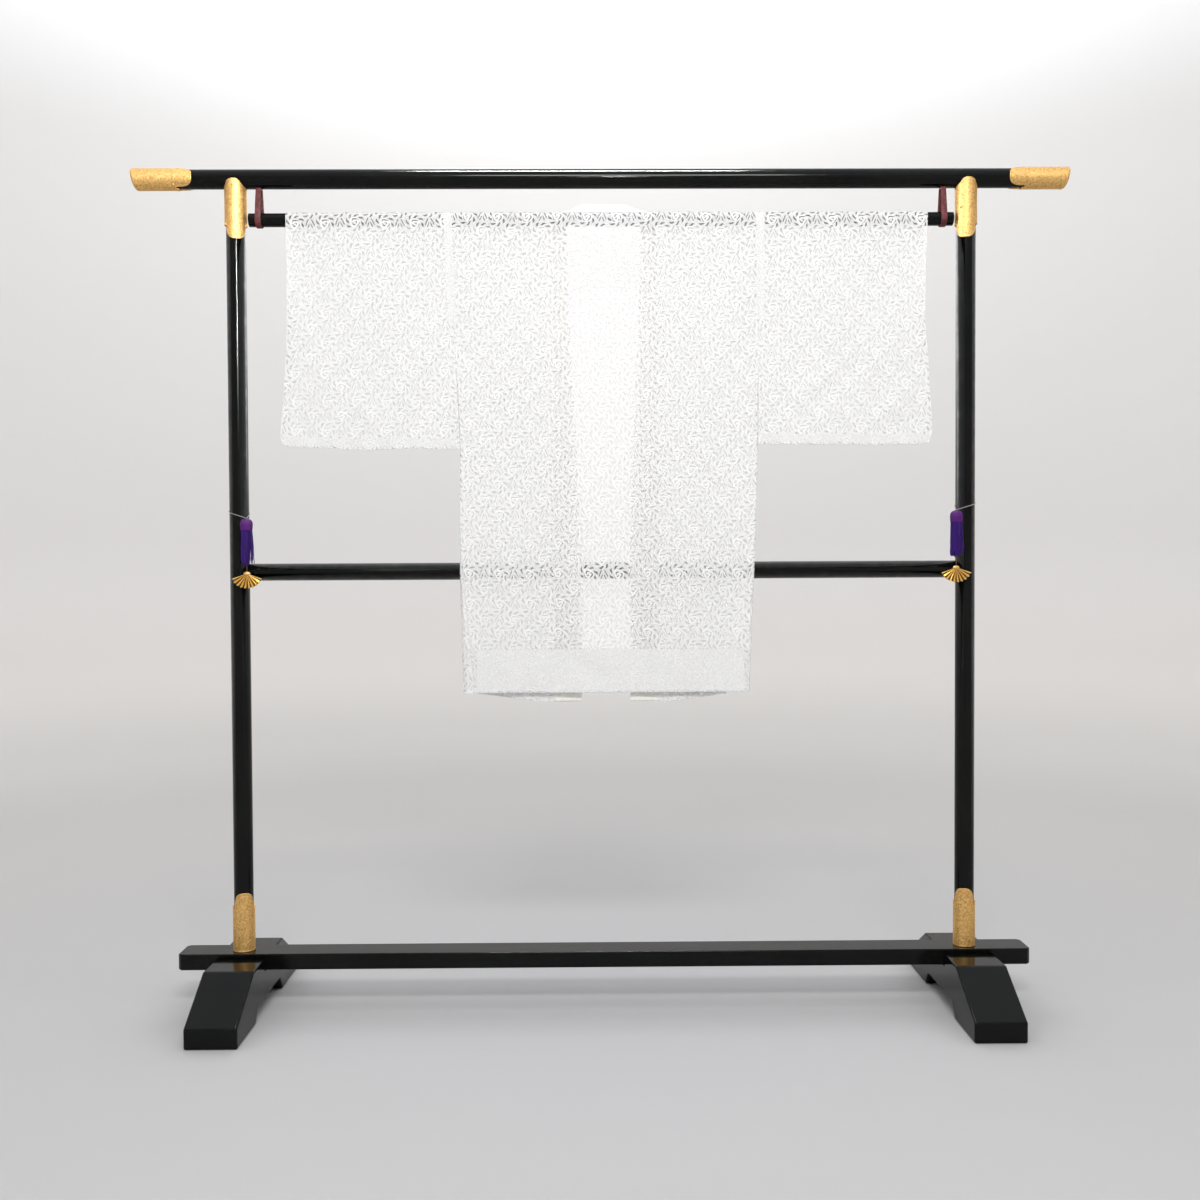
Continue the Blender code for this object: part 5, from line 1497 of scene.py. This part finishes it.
def sleeve_layer_y(side, x, z, face):
    """A sleeve's near (-1) layer, which hangs plumb, or far (+1) layer, which closes against it."""
    front, back = front_surface(body_edge(side, z), z), back_surface(body_edge(side, z), z)
    inner, outer = np.abs(x - body_edge(side, z)), np.abs(sleeve_edge(side, z) - x)
    settled = rod_wrap(CLOTH) * (1 - 0.10 * ease(1.60, 1.35, z))
    half = between((front - back) / 2, settled, ease(0.0, 0.16, inner))
    lean = (front + back) / 2 * (1 - 0.8 * ease(0.0, 0.30, inner))
    drop = np.maximum(z - SLEEVE_BOTTOM_Z - bottom_ripple(x), 0.0)
    fade = ease(0.0, 0.05, inner) * ease(0.0, 0.03, outer) * ease(0.0, 0.018, drop)
    fade = fade * ease(rod_axis_z, rod_axis_z - 0.04, z)
    mirrored = x if face < 0 else 0.93 * x + side * 0.02
    depth = 0.0 if face < 0 else 2 * half * sleeve_closing(side, x, z)
    return lean - half + depth + fade * crease_depth(SLEEVE_CREASES[side], mirrored, z) * -face


def sleeve_row(side, z, y_of):
    share = np.linspace(0.0, 1.0, SLEEVE_COLUMNS + 1)
    share = share - 0.035 * np.sin(2 * np.pi * share) / 2
    x = between(sleeve_inner_edge(side, z), sleeve_edge(side, z), share)
    height = z + bottom_ripple(x) * ease(SLEEVE_BOTTOM_Z + 0.15, SLEEVE_BOTTOM_Z, z)
    return np.stack((x, y_of(x, height), height), axis=-1)


def make_sleeve(name, side, lace):
    levels = [SLEEVE_BOTTOM_Z + drop for drop in SLEEVE_DROPS]
    levels += [between(levels[-1], rod_axis_z, step / SLEEVE_ROWS) for step in range(1, SLEEVE_ROWS + 1)]
    rows = [sleeve_row(side, z, lambda x, height: sleeve_layer_y(side, x, height, -1)) for z in levels]
    radius = rod_wrap(CLOTH)
    for step in range(1, ARC_STEPS):
        angle = math.pi * (1 - step / ARC_STEPS)
        z, y = rod_axis_z + radius * math.sin(angle), radius * math.cos(angle)
        rows.append(sleeve_row(side, z, lambda x, height: np.full(np.shape(x), y)))
    rows += [sleeve_row(side, z, lambda x, height: sleeve_layer_y(side, x, height, 1))
             for z in reversed(levels[1:])]
    points = np.array(rows)
    length = run_length(points)
    across, along = SLEEVE_PATTERN_SHIFT
    flat = np.stack(np.broadcast_arrays(points[:, :, 0] + across, length[:, None] + along), axis=-1)
    sleeve = cloth_grid("haori_" + name, points, flat, lace, wrap=True)
    finish_piece(sleeve, "lace", name)


for word, side in (("left", -1), ("right", 1)):
    make_sleeve("sleeve_" + word, side, lace)

# Collar: one long band of the lace over cream cotton, folded double, sewn to both front edges and
# round the back of the neck, where it is folded narrower and stands up.
NECK_LEFT = -0.0730
NECK_RIGHT = 0.0795
LAPEL_EDGE_LEFT = -0.0470
LAPEL_EDGE_RIGHT = 0.0550
COLLAR_STAND = 0.020
COLLAR_ROWS = 200
COLLAR_COLUMNS = 14
COLLAR_FOLD_STEPS = 6
# The band is thinner at its folded edges than down its middle, by this share
COLLAR_EDGE_SHARE = 0.72
# A row of the lapel, at which the way round the band is measured, and the lace figure's shift on it
COLLAR_MEASURED_ROW = 40
COLLAR_PATTERN_SHIFT = 0.01
NECK_ROWS = 4
NECK_CROWN = 0.0012
# The collar's turn at the neck's corner: how far the seam edge has moved inwards and its angle up
# the rod, then the free edge's move inwards, its depth, and its share of the collar's full height
NECK_CORNER = (
    (0.000, 22, 0.000, 0.0164, 0.11),
    (0.001, 45, 0.001, 0.0168, 0.27),
    (0.005, 66, 0.004, 0.0160, 0.45),
    (0.016, 80, 0.010, 0.0130, 0.66),
    (0.032, 82, 0.020, 0.0100, 0.84),
    (0.052, 82, 0.034, 0.0080, 0.95),
)


def lapel_edge(side, z):
    """The lapel's free edge, nearer the seam at the neck, where the collar is folded narrower."""
    neck, low = (NECK_LEFT, LAPEL_EDGE_LEFT) if side < 0 else (NECK_RIGHT, LAPEL_EDGE_RIGHT)
    return between(low, neck, ease(0.90, 1.62, z))


def lapel_sections(side):
    """Seam edge and free edge of the collar from a front's hem up to the middle of the neck."""
    seam = (LAPEL_SEAM_LEFT if side < 0 else LAPEL_SEAM_RIGHT) - side * (SEAM_GAP + CLOTH / 2)
    hem = float(front_hem_z(LAPEL_SEAM_LEFT if side < 0 else LAPEL_SEAM_RIGHT))
    sections = []
    for step in range(COLLAR_ROWS + 1):
        z = between(hem, rod_axis_z, step / COLLAR_ROWS)
        edge = lapel_edge(side, z)
        wave = 0.0008 * math.sin(z * 41 + side) * math.sin(math.pi * step / COLLAR_ROWS)
        sections.append((np.array((seam, float(front_y(seam, z, COLLAR_CLOTH)), z)),
                         np.array((edge, float(front_y(edge, z, COLLAR_CLOTH)) + max(wave, 0.0), z))))
    radius = rod_wrap(COLLAR_CLOTH)
    neck = NECK_LEFT if side < 0 else NECK_RIGHT
    for seam_shift, degrees, edge_shift, depth, share in NECK_CORNER:
        y, z = radius * math.cos(math.radians(degrees)), radius * math.sin(math.radians(degrees))
        rise = (radius + COLLAR_STAND) * share
        sections.append((np.array((seam - side * seam_shift, y, rod_axis_z + z)),
                         np.array((neck - side * edge_shift, depth, rod_axis_z + rise))))
    return sections


def smooth_run(sections, first, last, repeats):
    """Split each step between two rows of a run and round it off as a curve through the rows."""
    result = []
    for place in range(first, last):
        quad = [sections[min(max(place + offset, 0), len(sections) - 1)] for offset in (-1, 0, 1, 2)]
        for step in range(repeats):
            t = step / repeats
            weights = (-t / 2 + t * t - t ** 3 / 2, 1 - 2.5 * t * t + 1.5 * t ** 3,
                       t / 2 + 2 * t * t - 1.5 * t ** 3, -t * t / 2 + t ** 3 / 2)
            weighted = list(zip(weights, quad))
            result.append(tuple(sum(weight * row[edge] for weight, row in weighted) for edge in (0, 1)))
    return result


def make_collar(finish):
    left, right = lapel_sections(-1), lapel_sections(1)
    middle = []
    for step in range(1, NECK_ROWS):
        share = step / NECK_ROWS
        crown = np.array((0.0, 0.0, NECK_CROWN * math.sin(math.pi * share)))
        seam, edge = [between(left[-1][place], right[-1][place], share) for place in (0, 1)]
        middle.append((seam, edge + crown))
    rows = left + middle + right[::-1]
    top = COLLAR_ROWS + 1
    neck = smooth_run(rows, top - 2, len(rows) - top + 1, 6)
    rows = rows[:top - 2] + neck + rows[len(rows) - top + 1:]
    seam = np.array([row[0] for row in rows])
    edge = np.array([row[1] for row in rows])
    run = np.gradient((seam + edge) / 2, axis=0)
    across = edge - seam
    face = np.cross(run, across)
    face /= np.linalg.norm(face, axis=1)[:, None]
    half = COLLAR_CLOTH / 2
    width = np.linalg.norm(across, axis=1)[:, None]
    unit = across / width
    stations = []
    for step in range(COLLAR_COLUMNS + 1):
        share = step / COLLAR_COLUMNS
        puff = half * between(COLLAR_EDGE_SHARE, 1.0, math.sin(math.pi * share))
        stations.append((seam + unit * (half + (width - 2 * half) * share), puff))
    turns = [math.pi * step / COLLAR_FOLD_STEPS for step in range(1, COLLAR_FOLD_STEPS)]
    rings = [place + face * puff for place, puff in stations]
    for turn in turns:
        place = seam + unit * (width - half + half * math.sin(turn))
        rings.append(place + face * half * COLLAR_EDGE_SHARE * math.cos(turn))
    rings += [place - face * puff for place, puff in reversed(stations)]
    for turn in turns:
        place = seam + unit * (half - half * math.sin(turn))
        rings.append(place - face * half * COLLAR_EDGE_SHARE * math.cos(turn))
    grid = np.array(rings).transpose(1, 0, 2)
    grid = np.concatenate((grid, grid[:, :1]), axis=1)
    along = np.concatenate(([0.0], np.cumsum(np.linalg.norm(np.diff((seam + edge) / 2, axis=0), axis=1))))
    ring = grid[COLLAR_MEASURED_ROW]
    around = np.concatenate(([0.0], np.cumsum(np.linalg.norm(np.diff(ring, axis=0), axis=1))))
    flat = np.stack(np.broadcast_arrays(around[None, :] + COLLAR_PATTERN_SHIFT, along[:, None]), axis=-1)
    collar = cloth_grid("haori_collar", grid, flat, finish, thickness=0)
    shape = bmesh.new()
    shape.from_mesh(collar.data)
    bmesh.ops.holes_fill(shape, edges=[edge for edge in shape.edges if edge.is_boundary], sides=0)
    bmesh.ops.recalc_face_normals(shape, faces=shape.faces)
    shape.to_mesh(collar.data)
    shape.free()
    finish_piece(collar, "lace", "collar")


lined_lace = flower_lace("lined_flower_lace", "#efede4", "#fbfaf6", lining=1.0)
make_collar(lined_lace)

# Neck patch: a plain-woven off-white cotton rectangle on the inside of the back, just below the
# neck, that strengthens the lace there.
PATCH_LEFT = -0.0670
PATCH_RIGHT = 0.0795
PATCH_BOTTOM_Z = 1.5030
PATCH_TOP_Z = 1.6227
PATCH_CLOTH = 0.0008
PATCH_COLUMNS = 36
PATCH_ROWS = 30


def plain_cotton():
    """Plain-woven cotton: matte, its threads drawn 1.2 mm apart, coarser than real, so they show."""
    finish, tree, shader = new_finish("plain_cotton", Roughness=0.88)
    flat = add_node(tree, "ShaderNodeUVMap", uv_map="cloth")
    warp = add_node(tree, "ShaderNodeTexWave", {"Vector": flat, "Scale": 130.0, "Distortion": 0.6},
                    bands_direction="X")
    weft = add_node(tree, "ShaderNodeTexWave", {"Vector": flat, "Scale": 130.0, "Distortion": 0.6},
                    bands_direction="Y")
    weave = add_node(tree, "ShaderNodeMath", {0: warp, 1: weft}, operation="MAXIMUM")
    colour = add_node(tree, "ShaderNodeMix", {0: weave, 6: linear("#f8f8f4"), 7: linear("#fefefc")}, out=2,
                      data_type="RGBA")
    normal = add_node(tree, "ShaderNodeBump", {"Height": weave, "Strength": 0.3, "Distance": 0.0002})
    tree.links.new(colour, shader.inputs["Base Color"])
    tree.links.new(normal, shader.inputs["Normal"])
    return finish


def make_neck_patch(finish):
    inset = LACE / 2 + SEAM_GAP + PATCH_CLOTH / 2
    x, z = np.meshgrid(np.linspace(PATCH_LEFT, PATCH_RIGHT, PATCH_COLUMNS + 1),
                       np.linspace(PATCH_BOTTOM_Z, PATCH_TOP_Z, PATCH_ROWS + 1))
    points = np.stack((x, back_surface(x, z) + inset, z), axis=-1)
    patch = cloth_grid("haori_neck_patch", points, np.stack((x, z), axis=-1), finish, thickness=PATCH_CLOTH)
    finish_piece(patch, "plain_cloth", "neck_patch")


make_neck_patch(plain_cotton())

# Seam allowances: the sewn edges of body and sleeves, pressed towards the sleeve inside each
# armhole and up inside each sleeve's bottom, and the back hem's raw edge, turned in once more.
# Their extra layers show white through the lace.
ALLOWANCE_CLOTH = 0.0005
ALLOWANCE_INSET = LACE / 2 + 0.0001 + ALLOWANCE_CLOTH / 2
# Where each begins and ends, measured from its seam or fold
ARMHOLE_ALLOWANCE = (-0.005, 0.012)
BOTTOM_ALLOWANCE = (0.0045, 0.0215)
HEM_ALLOWANCE = (0.003, TURN_UP - 0.003)
# How far the strips stop short of the edges at their ends
BODY_SIDE_MARGIN = 0.004
WRIST_MARGIN = 0.006
BOTTOM_SLACK = 0.0003
# Points along and across each kind of strip
ARMHOLE_GRID = (45, 6)
BOTTOM_GRID = (90, 8)
HEM_GRID = (120, 24)


def seam_y(side, x, z, face):
    """The near (-1) or far (+1) layer at a place by the armhole, on the body or on the sleeve."""
    if abs(x) < abs(body_edge(side, z)):
        return back_surface(x, z) if face < 0 else front_surface(x, z)
    return sleeve_layer_y(side, x, z, face)


def add_allowance(name, points, flat, cloth):
    strip = cloth_grid(name, points, flat, cloth, thickness=ALLOWANCE_CLOTH)
    add_beside(strip)
    return strip


def make_armhole_allowance(name, side, cloth):
    levels = np.linspace(ARMHOLE_END_Z, rod_axis_z, ARMHOLE_GRID[0])
    moves = side * np.linspace(*ARMHOLE_ALLOWANCE, ARMHOLE_GRID[1])
    rows = []
    for face, heights in ((-1, levels), (1, levels[::-1])):
        for z in heights:
            places = body_edge(side, z) + moves
            rows.append([(x, seam_y(side, x, z, face) - face * ALLOWANCE_INSET, z) for x in places])
        if face < 0:
            radius = rod_wrap(CLOTH) - ALLOWANCE_INSET
            for step in range(1, ARC_STEPS):
                angle = math.pi * (1 - step / ARC_STEPS)
                z = rod_axis_z + radius * math.sin(angle)
                rows.append([(x, radius * math.cos(angle), z) for x in body_edge(side, z) + moves])
    points = np.array(rows, dtype=float)
    flat = np.stack(np.broadcast_arrays(points[:, :, 0], run_length(points)[:, None]), axis=-1)
    strip = add_allowance(name, points, flat, cloth)


def make_bottom_allowance(name, side, cloth):
    inner = sleeve_inner_edge(side, SLEEVE_BOTTOM_Z) + side * BODY_SIDE_MARGIN
    outer = sleeve_edge(side, SLEEVE_BOTTOM_Z + SLEEVE_CORNERS[1]) - side * WRIST_MARGIN
    x, rise = np.meshgrid(np.linspace(inner, outer, BOTTOM_GRID[0]),
                          np.linspace(*BOTTOM_ALLOWANCE, BOTTOM_GRID[1]))
    z = SLEEVE_BOTTOM_Z + bottom_ripple(x) + rise
    points = np.stack((x, sleeve_layer_y(side, x, z, -1) + ALLOWANCE_INSET + BOTTOM_SLACK, z), axis=-1)
    strip = add_allowance(name, points, np.stack((x, z), axis=-1), cloth)


def make_hem_allowance(cloth):
    left = back_edge(-1, BACK_HEM_Z) + BODY_SIDE_MARGIN
    right = back_edge(1, BACK_HEM_Z) - BODY_SIDE_MARGIN
    x, rise = np.meshgrid(np.linspace(left, right, HEM_GRID[0]), np.linspace(*HEM_ALLOWANCE, HEM_GRID[1]))
    z = BACK_HEM_Z + rise
    points = np.stack((x, back_surface(x, z) + ALLOWANCE_INSET, z), axis=-1)
    strip = add_allowance("back_hem_allowance", points, np.stack((x, z), axis=-1), cloth)


layered_lace = flower_lace("layered_flower_lace", "#f6f6f4", "#fafaf9", lining=1.0)
make_hem_allowance(layered_lace)
for word, side in (("left", -1), ("right", 1)):
    make_armhole_allowance("armhole_allowance_" + word, side, layered_lace)
    make_bottom_allowance("sleeve_bottom_allowance_" + word, side, layered_lace)
